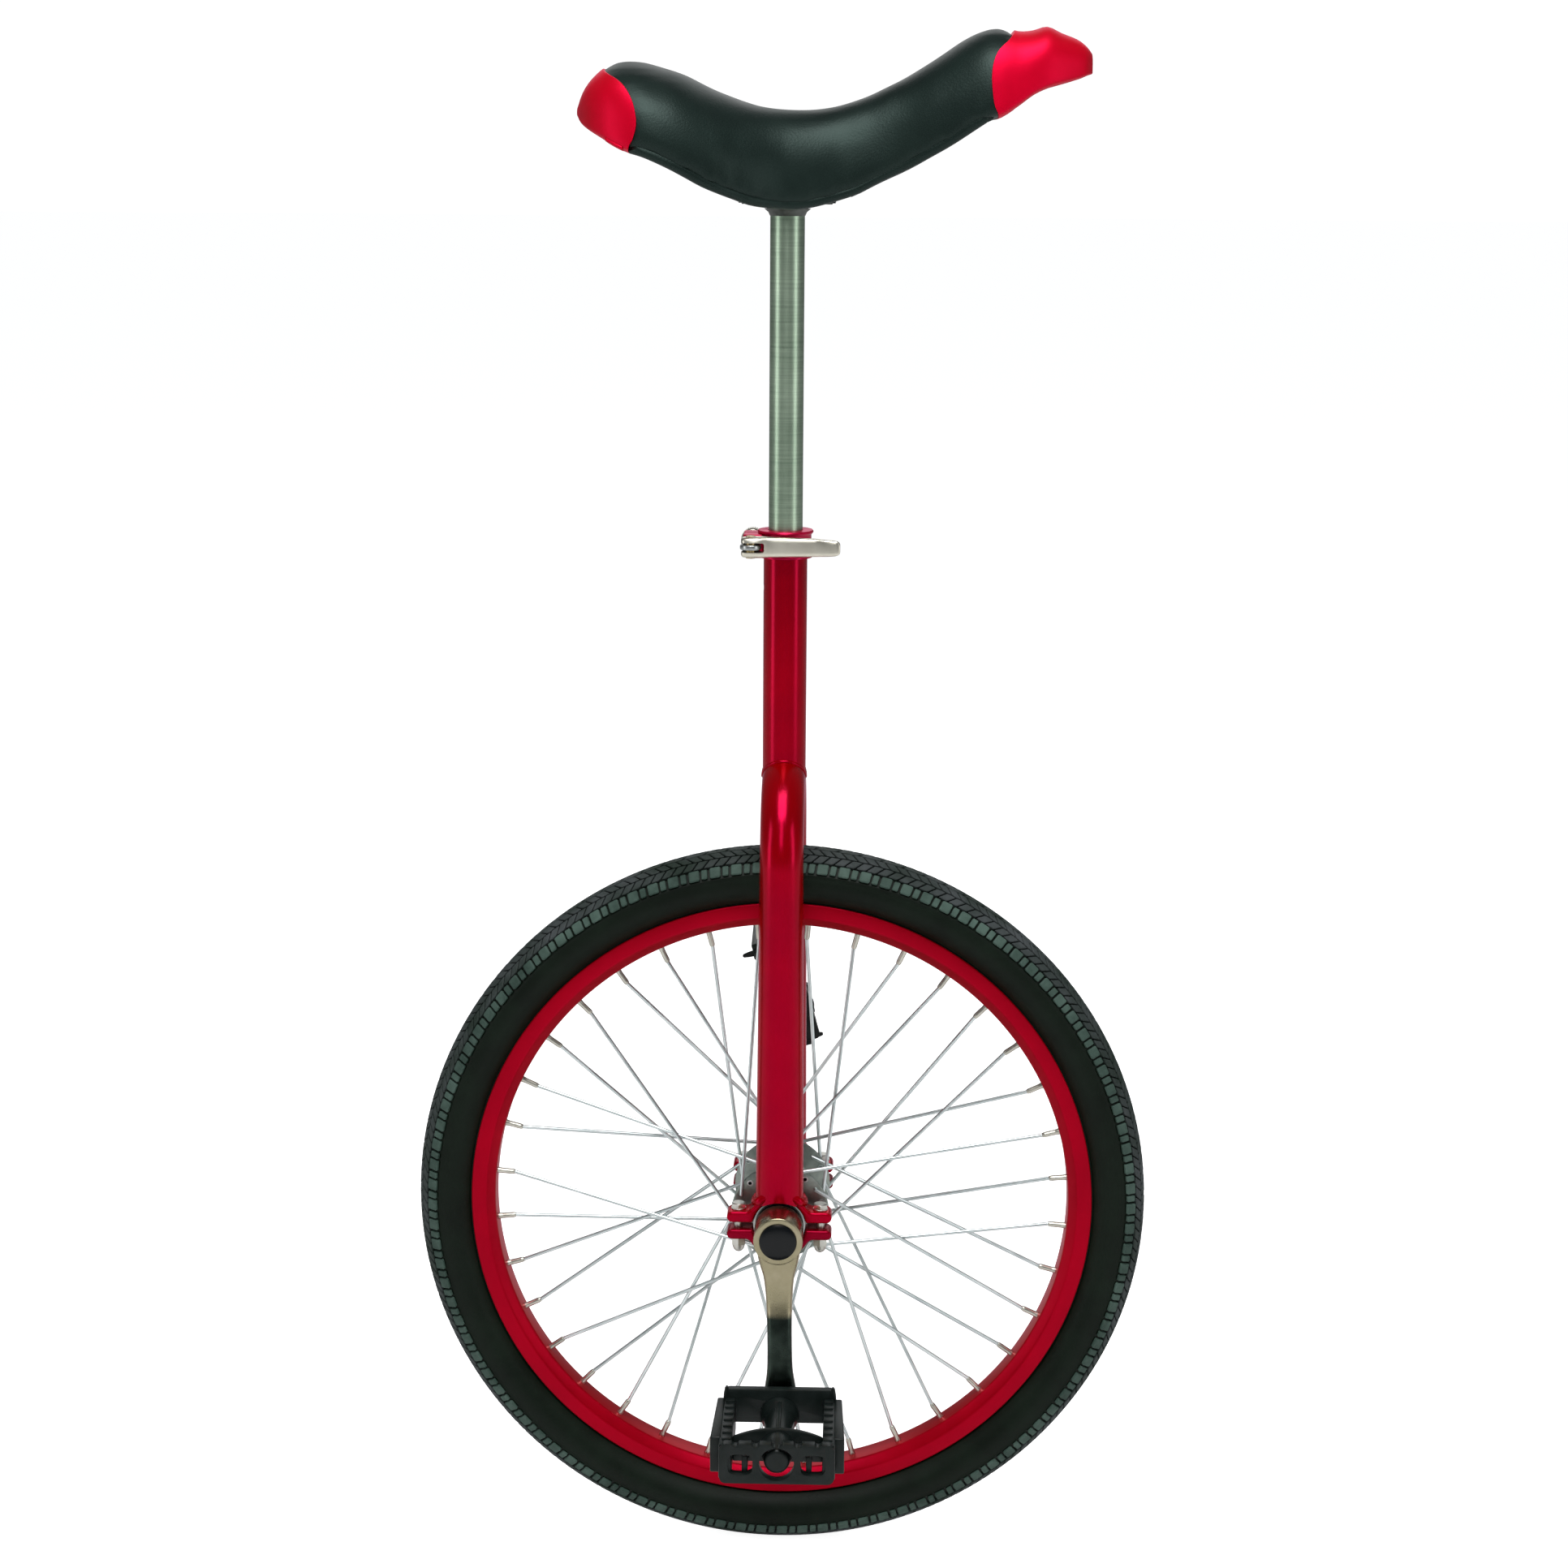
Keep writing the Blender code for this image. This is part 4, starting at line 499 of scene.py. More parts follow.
ground_steel = worn_steel("ground_steel", (0.36, 0.38, 0.38), (0.55, 0.57, 0.56), 0.3, 0.25, (0.1, 1, 1))
hub_steel = worn_steel("plated_hub_steel", (0.16, 0.19, 0.17), (0.42, 0.46, 0.42), 0.34, 0.2, (1, 0.1, 1))
HUB_OUT = (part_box("hub_shell")[1].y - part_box("hub_shell")[0].y) / 2
FLANGE_OUT = 0.0293
hub_half = fillet(
    [
        (0.0143, 0.0001),
        (0.0143, 0.018),
        (0.0186, 0.0262),
        (0.0330, 0.0268),
        (0.0330, FLANGE_OUT),
        (0.0166, FLANGE_OUT),
        (0.0136, 0.0325),
        (0.0136, HUB_OUT),
        (0.0103, HUB_OUT),
        (0.0103, 0.0001),
    ],
    0.0010,
)
hub_profile = hub_half + [(radius, -out) for radius, out in reversed(hub_half)]
hub = turned("hub_shell_turned", hub_profile, 96, ring=True)
settle(hub, wheel_place, hub_steel)
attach(hub, "wheel")
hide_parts("hub_shell")
refinish("axle", ground_steel)


# ---------------------------------------------------------------- spokes
# 36 drawn wires laced three-cross. Half of each side's wires leave the flange outwards and half
# inwards, each from a flat head, and all end in a plated nipple with a square body.
SPOKE_RADIUS = 0.00125
SPOKE_CIRCLE = 0.029
NIPPLE_FOOT = RIM_NOSE - 0.0118
NIPPLE_OUT = 0.0011
FLANGE_THICKNESS = 0.0025
spoke_wire = worn_steel("spoke_wire", (0.60, 0.67, 0.67), (0.80, 0.86, 0.86), 0.30)
nipple_plate = worn_steel("nipple_plate", (0.46, 0.45, 0.39), (0.70, 0.68, 0.60), 0.3)


def in_wheel(radius, degrees, out):
    """A point in the wheel about its own middle, by its angle from forward."""
    turn = math.radians(degrees)
    return Vector((radius * math.cos(turn), out, radius * math.sin(turn)))


def meshed(name, verts, faces):
    """A new piece from corners and faces, picked."""
    mesh = bpy.data.meshes.new(name)
    mesh.from_pydata(verts, [], faces)
    made = bpy.data.objects.new(name, mesh)
    bpy.context.scene.collection.objects.link(made)
    pick(made)
    return made


def swept(name, points, radius, sides=10):
    """A round bar along a run of points, capped at both ends."""
    run = [Vector(point) for point in points]
    verts = []
    faces = []
    before = None
    for number, point in enumerate(run):
        course = (run[min(number + 1, len(run) - 1)] - run[max(number - 1, 0)]).normalized()
        if before is None:
            before = course.orthogonal().normalized()
        first = (before - course * before.dot(course)).normalized()
        before = first
        second = course.cross(first)
        for side in range(sides):
            turn = 2 * math.pi * side / sides
            verts.append(point + radius * (first * math.cos(turn) + second * math.sin(turn)))
    for number in range(len(run) - 1):
        for side in range(sides):
            ahead = (side + 1) % sides
            row = number * sides
            faces.append((row + side, row + ahead, row + sides + ahead, row + sides + side))
    faces.append(tuple(reversed(range(sides))))
    faces.append(tuple(range((len(run) - 1) * sides, len(run) * sides)))
    return meshed(name, verts, faces)


def joined(name, pieces):
    """Join pieces into one object."""
    clear_selection()
    for made in pieces:
        made.select_set(True)
    bpy.context.view_layer.objects.active = pieces[0]
    bpy.ops.object.join()
    whole = bpy.context.object
    whole.name = name
    return whole


nipple_profile = [(0.0010, -0.0003), (0.0016, 0), (0.0019, 0.0015), (0.0019, 0.0090)]
nipple_profile += [(0.0022, 0.0112), (0.0022, 0.0132), (0.0006, 0.0135)]
nipple_profile = fillet(nipple_profile, 0.0004)
for where, side in SIDES.items():
    wires = []
    nipples = []
    offset = 10 if side == RIGHT else 0
    for lean, outside in ((1, side == RIGHT), (-1, side == LEFT)):
        first = 0 if (lean > 0) == (side == LEFT) else 20
        hub_angle = 5 + offset + first
        rim_angle = hub_angle - lean * 60
        way = 1 if outside else -1
        face = FLANGE_OUT if outside else FLANGE_OUT - FLANGE_THICKNESS
        back = FLANGE_OUT - FLANGE_THICKNESS if outside else FLANGE_OUT
        head = in_wheel(SPOKE_CIRCLE, hub_angle, side * (back - way * 0.0010))
        rise = in_wheel(SPOKE_CIRCLE, hub_angle, side * (face + way * 0.0006))
        foot = in_wheel(NIPPLE_FOOT, rim_angle, side * NIPPLE_OUT)
        leave = in_wheel(SPOKE_CIRCLE, hub_angle, side * (face + way * 0.0016))
        bend = leave + (foot - leave).normalized() * 0.0022
        wires.append(swept("wire", [head, rise, leave, bend, foot], SPOKE_RADIUS, 12))
        wires.append(swept("wire_head", [head, head + (rise - head).normalized() * 0.0008], 0.0020, 12))
        nipple = turned("nipple", nipple_profile, 12)
        axis = (in_wheel(RIM_NOSE, rim_angle, side * NIPPLE_OUT) - foot).to_track_quat("Z", "Y")
        axis = axis.to_matrix().to_4x4()
        nipple.data.transform(Matrix.Translation(foot) @ axis)
        nipples.append(nipple)
    laced = (("spoke_wires", wires, spoke_wire), ("spoke_nipples", nipples, nipple_plate))
    for name, pieces, material in laced:
        whole = repeated_round(joined(f"{name}_{where}", pieces), 9, (0, 1, 0))
        settle(whole, Matrix.Translation(HUB), material, 40)
        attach(whole, "wheel")
        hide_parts(f"spokes_{where}")


# ---------------------------------------------------------------- fork
# One steel tube bent into an upside-down U. Its legs widen a little towards the feet, where they
# are coped over the bearing holders and welded all round, then painted deep gloss red.
LEG_OUT = (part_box("bearing_outer_race_left")[0].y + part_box("bearing_outer_race_left")[1].y) / 2
CROWN_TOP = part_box("fork_tube")[1].z
TUBE_RADIUS = 0.0143
BEND_HEIGHT = CROWN_TOP - TUBE_RADIUS - LEG_OUT
HOLDER_RADIUS = 0.0220
COPE_RADIUS = 0.0182
FOOT_WIDE = 0.0160
FOOT_DEEP = 0.0124
FOOT_BASE = HUB.z + 0.0150
frame_red = gloss_red("frame_enamel", (0.30, 0.0, 0.0), (0.39, 0.0, 0.001), 0.18, 0.10, (1.0, 0.04, 0.42))

clear_selection()
bpy.ops.mesh.primitive_circle_add(vertices=56, radius=TUBE_RADIUS, location=(0, 0, 0))
fork = bpy.context.object
fork.name = "fork_bent_tube"
bpy.ops.object.mode_set(mode="EDIT")
bpy.ops.transform.translate(value=(0, -LEG_OUT, BEND_HEIGHT))
bpy.ops.mesh.spin(steps=40, angle=math.pi, center=(0, 0, BEND_HEIGHT), axis=(1, 0, 0))
bpy.ops.object.mode_set(mode="OBJECT")
levels = [BEND_HEIGHT - share * (BEND_HEIGHT - FOOT_BASE) for share in (0.1, 0.25, 0.4, 0.55, 0.7, 0.85, 1.0)]
bpy.ops.object.mode_set(mode="EDIT")
bpy.ops.mesh.select_all(action="SELECT")
bpy.ops.mesh.remove_doubles(threshold=0.00001)
for side in SIDES.values():
    bpy.ops.mesh.select_all(action="DESELECT")
    shell = bmesh.from_edit_mesh(fork.data)
    for edge in shell.edges:
        edge.select = edge.is_boundary and edge.verts[0].co.y * side > 0
    bmesh.update_edit_mesh(fork.data)
    bpy.ops.mesh.select_mode(type="EDGE")
    height = BEND_HEIGHT
    wide = TUBE_RADIUS
    deep = TUBE_RADIUS
    for level in levels:
        share = (BEND_HEIGHT - level) / (BEND_HEIGHT - FOOT_BASE)
        next_wide = TUBE_RADIUS + (FOOT_WIDE - TUBE_RADIUS) * share
        next_deep = TUBE_RADIUS + (FOOT_DEEP - TUBE_RADIUS) * share
        bpy.ops.mesh.extrude_edges_move(TRANSFORM_OT_translate={"value": (0, 0, level - height)})
        grow = (next_wide / wide, next_deep / deep, 1)
        bpy.ops.transform.resize(value=grow, center_override=(0, side * LEG_OUT, level))
        height, wide, deep = level, next_wide, next_deep
bpy.ops.mesh.select_all(action="SELECT")
bpy.ops.mesh.fill_holes(sides=0)
outward(fork)


def cut_with(piece, tool, operation="DIFFERENCE"):
    """Cut a piece with another, or join the other to it, and clear the tool away."""
    clear_selection()
    step = piece.modifiers.new(tool.name, "BOOLEAN")
    step.operation = operation
    step.solver = "EXACT"
    step.object = tool
    bpy.context.view_layer.objects.active = piece
    piece.select_set(True)
    bpy.ops.object.modifier_apply(modifier=step.name)
    bpy.data.objects.remove(tool, do_unlink=True)
    return piece


def rod(name, radius, low, high, place=None, sides=64):
    """A round bar along Z, moved to its place."""
    clear_selection()
    middle = (0, 0, (low + high) / 2)
    bpy.ops.mesh.primitive_cylinder_add(vertices=sides, radius=radius, depth=high - low, location=middle)
    bpy.ops.object.transform_apply(location=True, rotation=True, scale=True)
    made = bpy.context.object
    made.name = name
    if place is not None:
        made.data.transform(place)
    return made


cut_with(fork, rod("cope", COPE_RADIUS, -0.1, 0.1, wheel_place))
settle(fork, Matrix.Identity(4), frame_red, 45)
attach(fork, "frame")
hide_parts("fork_tube")


# ---------------------------------------------------------------- seat tube and crown weld
# The upright tube is coped on to the top of the bend and welded, with a slot down its back so
# that the clamp can squeeze it. The weld is a smooth low fillet under the paint.
SEAT_TUBE_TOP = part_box("seat_tube")[1].z
SEAT_TUBE_BORE = 0.0114
SLOT_HALF = 0.0013
seat_tube_profile = [(SEAT_TUBE_BORE, CROWN_TOP - 0.010), (TUBE_RADIUS, CROWN_TOP - 0.010)]
seat_tube_profile += [(TUBE_RADIUS, SEAT_TUBE_TOP - 0.0004), (TUBE_RADIUS - 0.0004, SEAT_TUBE_TOP)]
seat_tube_profile += [(SEAT_TUBE_BORE, SEAT_TUBE_TOP)]
seat_tube = turned("seat_tube_coped", seat_tube_profile, 64, ring=True)


def box_between(name, low, high):
    """A box between two corners."""
    clear_selection()
    bpy.ops.mesh.primitive_cube_add(size=1, location=(Vector(low) + Vector(high)) / 2)
    made = bpy.context.object
    made.name = name
    made.scale = Vector(high) - Vector(low)
    bpy.ops.object.transform_apply(location=True, rotation=True, scale=True)
    return made


slot_low = (-0.03, -SLOT_HALF, SEAT_TUBE_TOP - 0.036)
cut_with(seat_tube, box_between("slot", slot_low, (-0.005, SLOT_HALF, SEAT_TUBE_TOP + 0.01)))
drilled = Matrix.Translation((0, 0, slot_low[2])) @ Matrix.Rotation(math.radians(90), 4, "Y")
cut_with(seat_tube, rod("slot_end", 2 * SLOT_HALF, -0.03, -0.005, drilled, 24))
settle(seat_tube, Matrix.Identity(4), frame_red, 40)


def bead_loop(name, points, radius, sides=10):
    """A closed round bead along a loop of points."""
    count = len(points)
    verts = []
    for number, point in enumerate(points):
        course = (Vector(points[(number + 1) % count]) - Vector(points[number - 1])).normalized()
        first = Vector((0, 0, 1)) - course * course.z
        first.normalize()
        second = course.cross(first)
        for side in range(sides):
            turn = 2 * math.pi * side / sides
            verts.append(Vector(point) + radius * (first * math.cos(turn) + second * math.sin(turn)))
    faces = []
    for number in range(count):
        ahead_row = ((number + 1) % count) * sides
        for side in range(sides):
            ahead = (side + 1) % sides
            faces.append((number * sides + side, number * sides + ahead, ahead_row + ahead, ahead_row + side))
    return outward(meshed(name, verts, faces))


crown_loop = []
for step in range(96):
    turn = 2 * math.pi * step / 96
    across = TUBE_RADIUS * math.cos(turn)
    out = TUBE_RADIUS * math.sin(turn)
    reach = LEG_OUT + math.sqrt(max(0.0, TUBE_RADIUS**2 - across**2))
    crown_loop.append((across * 0.985, out, BEND_HEIGHT + math.sqrt(reach**2 - out**2) + 0.0002))
crown_weld = bead_loop("crown_weld", crown_loop, 0.0012, 12)
settle(crown_weld, Matrix.Identity(4), frame_red, 60)
for piece in (seat_tube, crown_weld):
    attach(piece, "frame")
    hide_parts("seat_tube")


# ---------------------------------------------------------------- bearing holders
# Two pressed steel halves pinch each bearing. The upper one is welded under the leg and its rolled
# ears carry the bolts. The lower one is a loose strap of the same section.
HOLDER_HALF = (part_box("bearing_holder_upper_left")[1].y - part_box("bearing_holder_upper_left")[0].y) / 2
EAR_LOW = 0.0026
EAR_REACH = 0.0350
UPPER_EAR = 0.0074
LOWER_EAR = 0.0066
STRAP_BORE = 0.0178
strap_red = gloss_red("strap_enamel", (0.20, 0.0, 0.004), (0.28, 0.0, 0.008), 0.22, 0.10, (0.8, 0.06, 0.3))


def arc_points(centre, radius, start, end, steps):
    """Points on an arc, with its angles in degrees."""
    turns = [math.radians(start + (end - start) * step / steps) for step in range(steps + 1)]
    return [(centre[0] + radius * math.cos(turn), centre[1] + radius * math.sin(turn)) for turn in turns]


def strap_outline(ear_thickness):
    """The strap's edge: an arch over the bearing that runs out into a rounded ear on each side."""
    top = EAR_LOW + ear_thickness
    end = ear_thickness / 2
    meet = math.degrees(math.asin(EAR_LOW / STRAP_BORE))
    flare = 0.0050
    flare_z = top + flare
    flare_x = math.sqrt((HOLDER_RADIUS + flare) ** 2 - flare_z**2)
    lean = math.degrees(math.atan2(flare_z, flare_x))
    half = arc_points((EAR_REACH - end, EAR_LOW + end), end, -90, 90, 10)
    half += arc_points((flare_x, flare_z), flare, 270, 180 + lean, 6)
    crown = arc_points((0, 0), HOLDER_RADIUS, lean, 180 - lean, 28)[1:-1]
    bore = arc_points((0, 0), STRAP_BORE, 180 - meet, meet, 40)
    return bore + half + crown + [(-across, height) for across, height in reversed(half)]


def pushed_outline(name, outline, low, high):
    """A solid from an outline seen from the side, pushed from one place to another along Y."""
    made = meshed(name, [(x, low, z) for x, z in outline], [tuple(range(len(outline)))])
    bpy.ops.object.mode_set(mode="EDIT")
    bpy.ops.mesh.select_all(action="SELECT")
    bpy.ops.mesh.extrude_region_move(TRANSFORM_OT_translate={"value": (0, high - low, 0)})
    return outward(made)


def rounded_edges(piece, width, segments=3, angle=40):
    """Round a piece's sharp edges."""
    pick(piece)
    edge = piece.modifiers.new("rounded", "BEVEL")
    edge.width = width
    edge.segments = segments
    edge.limit_method = "ANGLE"
    edge.angle_limit = math.radians(angle)
    bpy.ops.object.modifier_apply(modifier=edge.name)
    return piece


def pressed_strap(name, outline, flip):
    """A strap of the holders' width with its long edges rounded."""
    edge = [(x, z * flip) for x, z in outline]
    return rounded_edges(pushed_outline(name, edge, -HOLDER_HALF, HOLDER_HALF), 0.0014, 3, 60)


for where, side in SIDES.items():
    place = Matrix.Translation((0, side * LEG_OUT, HUB.z))
    upper = pressed_strap(f"welded_strap_{where}", strap_outline(UPPER_EAR), 1)
    settle(upper, place, frame_red, 40)
    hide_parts(f"bearing_holder_upper_{where}")
    lower = pressed_strap(f"loose_strap_{where}", strap_outline(LOWER_EAR), -1)
    settle(lower, place, strap_red, 40)
    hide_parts(f"bearing_holder_lower_{where}")
    foot_loop = []
    for step in range(72):
        turn = 2 * math.pi * step / 72
        across = FOOT_WIDE * math.sin(turn)
        height = HUB.z + math.sqrt(HOLDER_RADIUS**2 - across**2)
        out = FOOT_DEEP * math.cos(turn)
        out = max(-HOLDER_HALF + 0.0008, min(HOLDER_HALF - 0.0008, out))
        foot_loop.append((across, side * LEG_OUT + out, height + 0.0002))
    foot_weld = bead_loop(f"foot_weld_{where}", foot_loop, 0.0032, 12)
    settle(foot_weld, Matrix.Identity(4), frame_red, 60)
    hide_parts(f"bearing_holder_upper_{where}")
    for piece in (upper, lower, foot_weld):
        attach(piece, "frame")


# ---------------------------------------------------------------- holder bolts and nuts
# A hexagon-headed zinc bolt with a washer drops through each pair of ears and ends in a domed
# nut below.
BOLT_ACROSS = 0.0273
BOLT_RADIUS = 0.0028
WASHER_THICKNESS = 0.0010
zinc = worn_steel("bright_zinc", (0.42, 0.42, 0.38), (0.66, 0.65, 0.60), 0.28, 0.15, (1, 1, 0.1))


def hexagon(name, across_flats, low, high):
    """A hexagonal head with a turned chamfer on its upper face."""
    made = rod(name, across_flats / 2 / math.cos(math.pi / 6), low, high, None, 6)
    clear = across_flats * 0.62
    profile = [(clear, low - 0.001), (clear, high - 0.0010), (across_flats * 0.44, high), (0.0002, high)]
    chamfer = turned("chamfer", profile, 36)
    return cut_with(made, chamfer, "INTERSECT")


for where, side in SIDES.items():
    for end, across in (("rear", -BOLT_ACROSS), ("front", BOLT_ACROSS)):
        place = Matrix.Translation((across, side * LEG_OUT, HUB.z))
        low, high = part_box(f"holder_bolt_{where}_{end}")
        ear_top = EAR_LOW + UPPER_EAR
        head_top = high.z - HUB.z
        head = hexagon("head", 0.0088, ear_top + WASHER_THICKNESS, head_top)
        washer_top = ear_top + WASHER_THICKNESS
        washer_profile = [(BOLT_RADIUS, ear_top), (0.0050, ear_top)]
        washer_profile += [(0.0050, washer_top), (BOLT_RADIUS, washer_top)]
        washer = turned("washer", fillet(washer_profile, 0.0003), 32)
        shank = rod("shank", BOLT_RADIUS, low.z - HUB.z, ear_top + 0.0015, None, 24)
        bolt = settle(joined(f"hexagon_bolt_{where}_{end}", [head, washer, shank]), place, zinc, 30)
        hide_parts(f"holder_bolt_{where}_{end}")
        nut_low, nut_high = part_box(f"holder_nut_{where}_{end}")
        nut_top = nut_high.z - HUB.z
        nut_base = nut_low.z - HUB.z
        hexed = rod("hexed", 0.0050, nut_top - 0.0048, nut_top, None, 6)
        dome_profile = [(0.0044, nut_top - 0.0046), (0.0042, nut_top - 0.0062)]
        dome_profile += [(0.0036, nut_base + 0.0022), (0.0024, nut_base + 0.0008), (0.0009, nut_base)]
        dome = turned("dome", dome_profile, 32)
        nut = settle(joined(f"domed_nut_{where}_{end}", [hexed, dome]), place, zinc, 30)
        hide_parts(f"holder_nut_{where}_{end}")
        for piece in (bolt, nut):
            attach(piece, "frame")


# ---------------------------------------------------------------- bearings
# Sealed ball bearings. Only the edge of the ground outer race and its black rubber seal show
# between the straps. The inner race and the caged balls behind the seal stay as they are.
SEAL_SECTION = (
    (0.0105, 0.0012),
    (0.0151, 0.0012),
    (0.0151, 0.0003),
    (0.0140, 0.0002),
    (0.0136, 0.0006),
    (0.0112, 0.0006),
    (0.0105, 0.0002),
)
seal_rubber = rubber_finish("seal_rubber", (0.006, 0.006, 0.006), (0.014, 0.014, 0.014), 0.42)
for where, side in SIDES.items():
    low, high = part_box(f"bearing_outer_race_{where}")
    half = (high.y - low.y) / 2
    place = Matrix.Translation((0, side * LEG_OUT, HUB.z)) @ facing(side)
    race_profile = [(0.0152, -half), (0.0175, -half), (0.0175, half), (0.0152, half), (0.0150, 0)]
    race_profile = fillet([*race_profile, race_profile[0]], 0.0006)[:-1]
    race = turned(f"ground_race_{where}", race_profile, 72, ring=True)
    settle(race, place, ground_steel, 30)
    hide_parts(f"bearing_outer_race_{where}")
    seal_profile = [(radius, half - sunk) for radius, sunk in SEAL_SECTION]
    seal = turned(f"bearing_seal_{where}", seal_profile, 64, ring=True)
    settle(seal, place, seal_rubber, 30)
    for piece in (race, seal):
        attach(piece, "frame")
    for node in (f"bearing_inner_race_{where}", f"bearing_ball_cage_{where}"):
        refinish(node, ground_steel)


# ---------------------------------------------------------------- cranks
# Forged steel arms, plated bright by the axle. Further out towards the pedal their colour turns
# dark: a painted reflection of the dark surroundings that the chrome would mirror. A round boss
# fits the axle's square, the arm narrows as it bends outwards, and a thicker eye takes the pedal.
# A black cap covers the bolt in the boss.
CRANK_BOSS_OUT = 0.0860
CRANK_FOOT_OUT = 0.0922
BRIGHT_REACH = 0.0505
DARK_REACH = 0.0545
crank_plate = worn_steel("crank_plating", (0.31, 0.28, 0.17), (0.42, 0.37, 0.25), 0.27)
# Painted reflection: past BRIGHT_REACH above or below the axle, the plating's colour blends into dark tones
# that stand in for the dark surroundings mirrored in the chrome.
nodes, links, place = add_nodes(crank_plate)
split = nodes.new("ShaderNodeSeparateXYZ")
links.new(place, split.inputs[0])
height = nodes.new("ShaderNodeMath")
height.operation = "SUBTRACT"
height.inputs[1].default_value = HUB.z
links.new(split.outputs["Z"], height.inputs[0])
reach = nodes.new("ShaderNodeMath")
reach.operation = "ABSOLUTE"
links.new(height.outputs[0], reach.inputs[0])
painted_reflection_share = nodes.new("ShaderNodeMapRange")
painted_reflection_share.inputs["From Min"].default_value = BRIGHT_REACH
painted_reflection_share.inputs["From Max"].default_value = DARK_REACH
links.new(reach.outputs[0], painted_reflection_share.inputs["Value"])
painted_reflection_mix = nodes.new("ShaderNodeMix")
painted_reflection_mix.data_type = "RGBA"
links.new(painted_reflection_share.outputs["Result"], painted_reflection_mix.inputs["Factor"])
links.new(shader_of(crank_plate).inputs["Base Color"].links[0].from_socket, painted_reflection_mix.inputs[6])
painted_reflection_tones = ((0.35, (0.018, 0.026, 0.022)), (0.7, (0.055, 0.075, 0.062)))
links.new(ramp(nodes, links, noise(nodes, links, place, 70, 3.0), painted_reflection_tones), painted_reflection_mix.inputs[7])
links.new(painted_reflection_mix.outputs[2], shader_of(crank_plate).inputs["Base Color"])


def superoval(half_width, half_depth, power=2.6, sides=32):
    """Points on a full oval."""
    points = []
    for side in range(sides):
        turn = 2 * math.pi * side / sides
        across = math.copysign(abs(math.cos(turn)) ** (2 / power), math.cos(turn))
        deep = math.copysign(abs(math.sin(turn)) ** (2 / power), math.sin(turn))
        points.append((half_width * across, half_depth * deep))
    return points


def skinned(name, rings):
    """A skin over rings of points of equal count, with capped ends."""
    count = len(rings[0])
    verts = [point for ring in rings for point in ring]
    faces = []
    for start in range(0, len(verts) - count, count):
        for side in range(count):
            ahead = (side + 1) % count
            faces.append((start + side, start + ahead, start + count + ahead, start + count + side))
    faces.append(tuple(range(count)))
    faces.append(tuple(range(len(verts) - count, len(verts))))
    return outward(meshed(name, verts, faces))


def smooth_run(stations, steps):
    """Rows of numbers between stations, by a smooth curve."""
    rows = []
    for number in range(len(stations) - 1):
        before = stations[max(number - 1, 0)]
        here = stations[number]
        ahead = stations[number + 1]
        beyond = stations[min(number + 2, len(stations) - 1)]
        for step in range(steps):
            t = step / steps
            row = []
            for a, b, c, d in zip(before, here, ahead, beyond):
                curve = 2 * a - 5 * b + 4 * c - d + t * (3 * (b - c) + d - a)
                row.append(b + 0.5 * t * (c - a + t * curve))
            rows.append(row)
    rows.append(list(stations[-1]))
    return rows


# Each row: the distance from the axle, the outer face's place, and half the width and depth.
CRANK_ARM = (
    (0.0030, 0.0835, 0.0150, 0.0100),
    (0.0120, 0.0834, 0.0142, 0.0095),
    (0.0200, 0.0832, 0.0124, 0.0085),
    (0.0290, 0.0830, 0.0101, 0.0078),
    (0.0450, 0.0842, 0.0087, 0.0066),
    (0.0660, 0.0886, 0.0082, 0.0059),
    (0.0880, 0.0918, 0.0085, 0.0059),
    (0.1010, 0.0920, 0.0102, 0.0062),
    (0.1100, 0.0920, 0.0112, 0.0064),
    (0.1180, 0.0920, 0.0100, 0.0064),
    (0.1240, 0.0918, 0.0056, 0.0058),
)
for where, side in SIDES.items():
    spindle_low, spindle_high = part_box(f"pedal_spindle_{where}")
    eye = (spindle_low + spindle_high) / 2 - HUB
    crank_length = math.hypot(eye.x, eye.z)
    turn = math.atan2(-eye.x, -eye.z)
    place = Matrix.Translation(HUB) @ Matrix.Rotation(turn, 4, "Y")
    rings = []
    for along, face, half_width, half_depth in smooth_run(CRANK_ARM, 4):
        middle = side * (face - half_depth)
        oval = superoval(half_width, half_depth, 3.0)
        rings.append([(across, middle + deep, -along) for across, deep in oval])
    arm = skinned("arm", rings)
    boss_profile = [(0.0004, 0.0605), (0.0163, 0.0605), (0.0163, CRANK_BOSS_OUT), (0.0106, CRANK_BOSS_OUT)]
    boss_profile += [(0.0106, 0.0812), (0.0004, 0.0812)]
    boss = turned("boss", fillet(boss_profile, 0.0012, 4), 96)
    boss.data.transform(facing(side))
    eye_profile = [(0.0004, 0.0790), (0.0108, 0.0790), (0.0116, 0.0800), (0.0116, 0.0910)]
    eye_profile += [(0.0106, CRANK_FOOT_OUT), (0.0004, CRANK_FOOT_OUT)]
    eye_ring = turned("eye", fillet(eye_profile, 0.0008), 64)
    eye_ring.data.transform(Matrix.Translation((0, 0, -crank_length)) @ facing(side))
    crank = joined(f"forged_crank_{where}", [arm, boss, eye_ring])
    settle(crank, place, crank_plate, 50)
    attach(crank, "wheel")
    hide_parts(f"crank_{where}")
    cap_profile = [(0.0108, 0.0838), (0.0108, 0.0862), (0.0121, 0.0862), (0.0124, 0.0866), (0.0122, 0.0872)]
    for step in range(15, 90, 12):
        rise = math.radians(step)
        cap_profile.append((0.0124 * math.cos(rise), 0.0871 + 0.0019 * math.sin(rise)))
    cap = turned(f"bolt_cap_{where}", cap_profile + [(0.0002, 0.0890)], 64)
    settle(cap, Matrix.Translation(HUB) @ facing(side), black_gloss, 35)
    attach(cap, "wheel")
    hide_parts(f"dust_cap_{where}")
    refinish(f"crank_bolt_{where}", ground_steel)


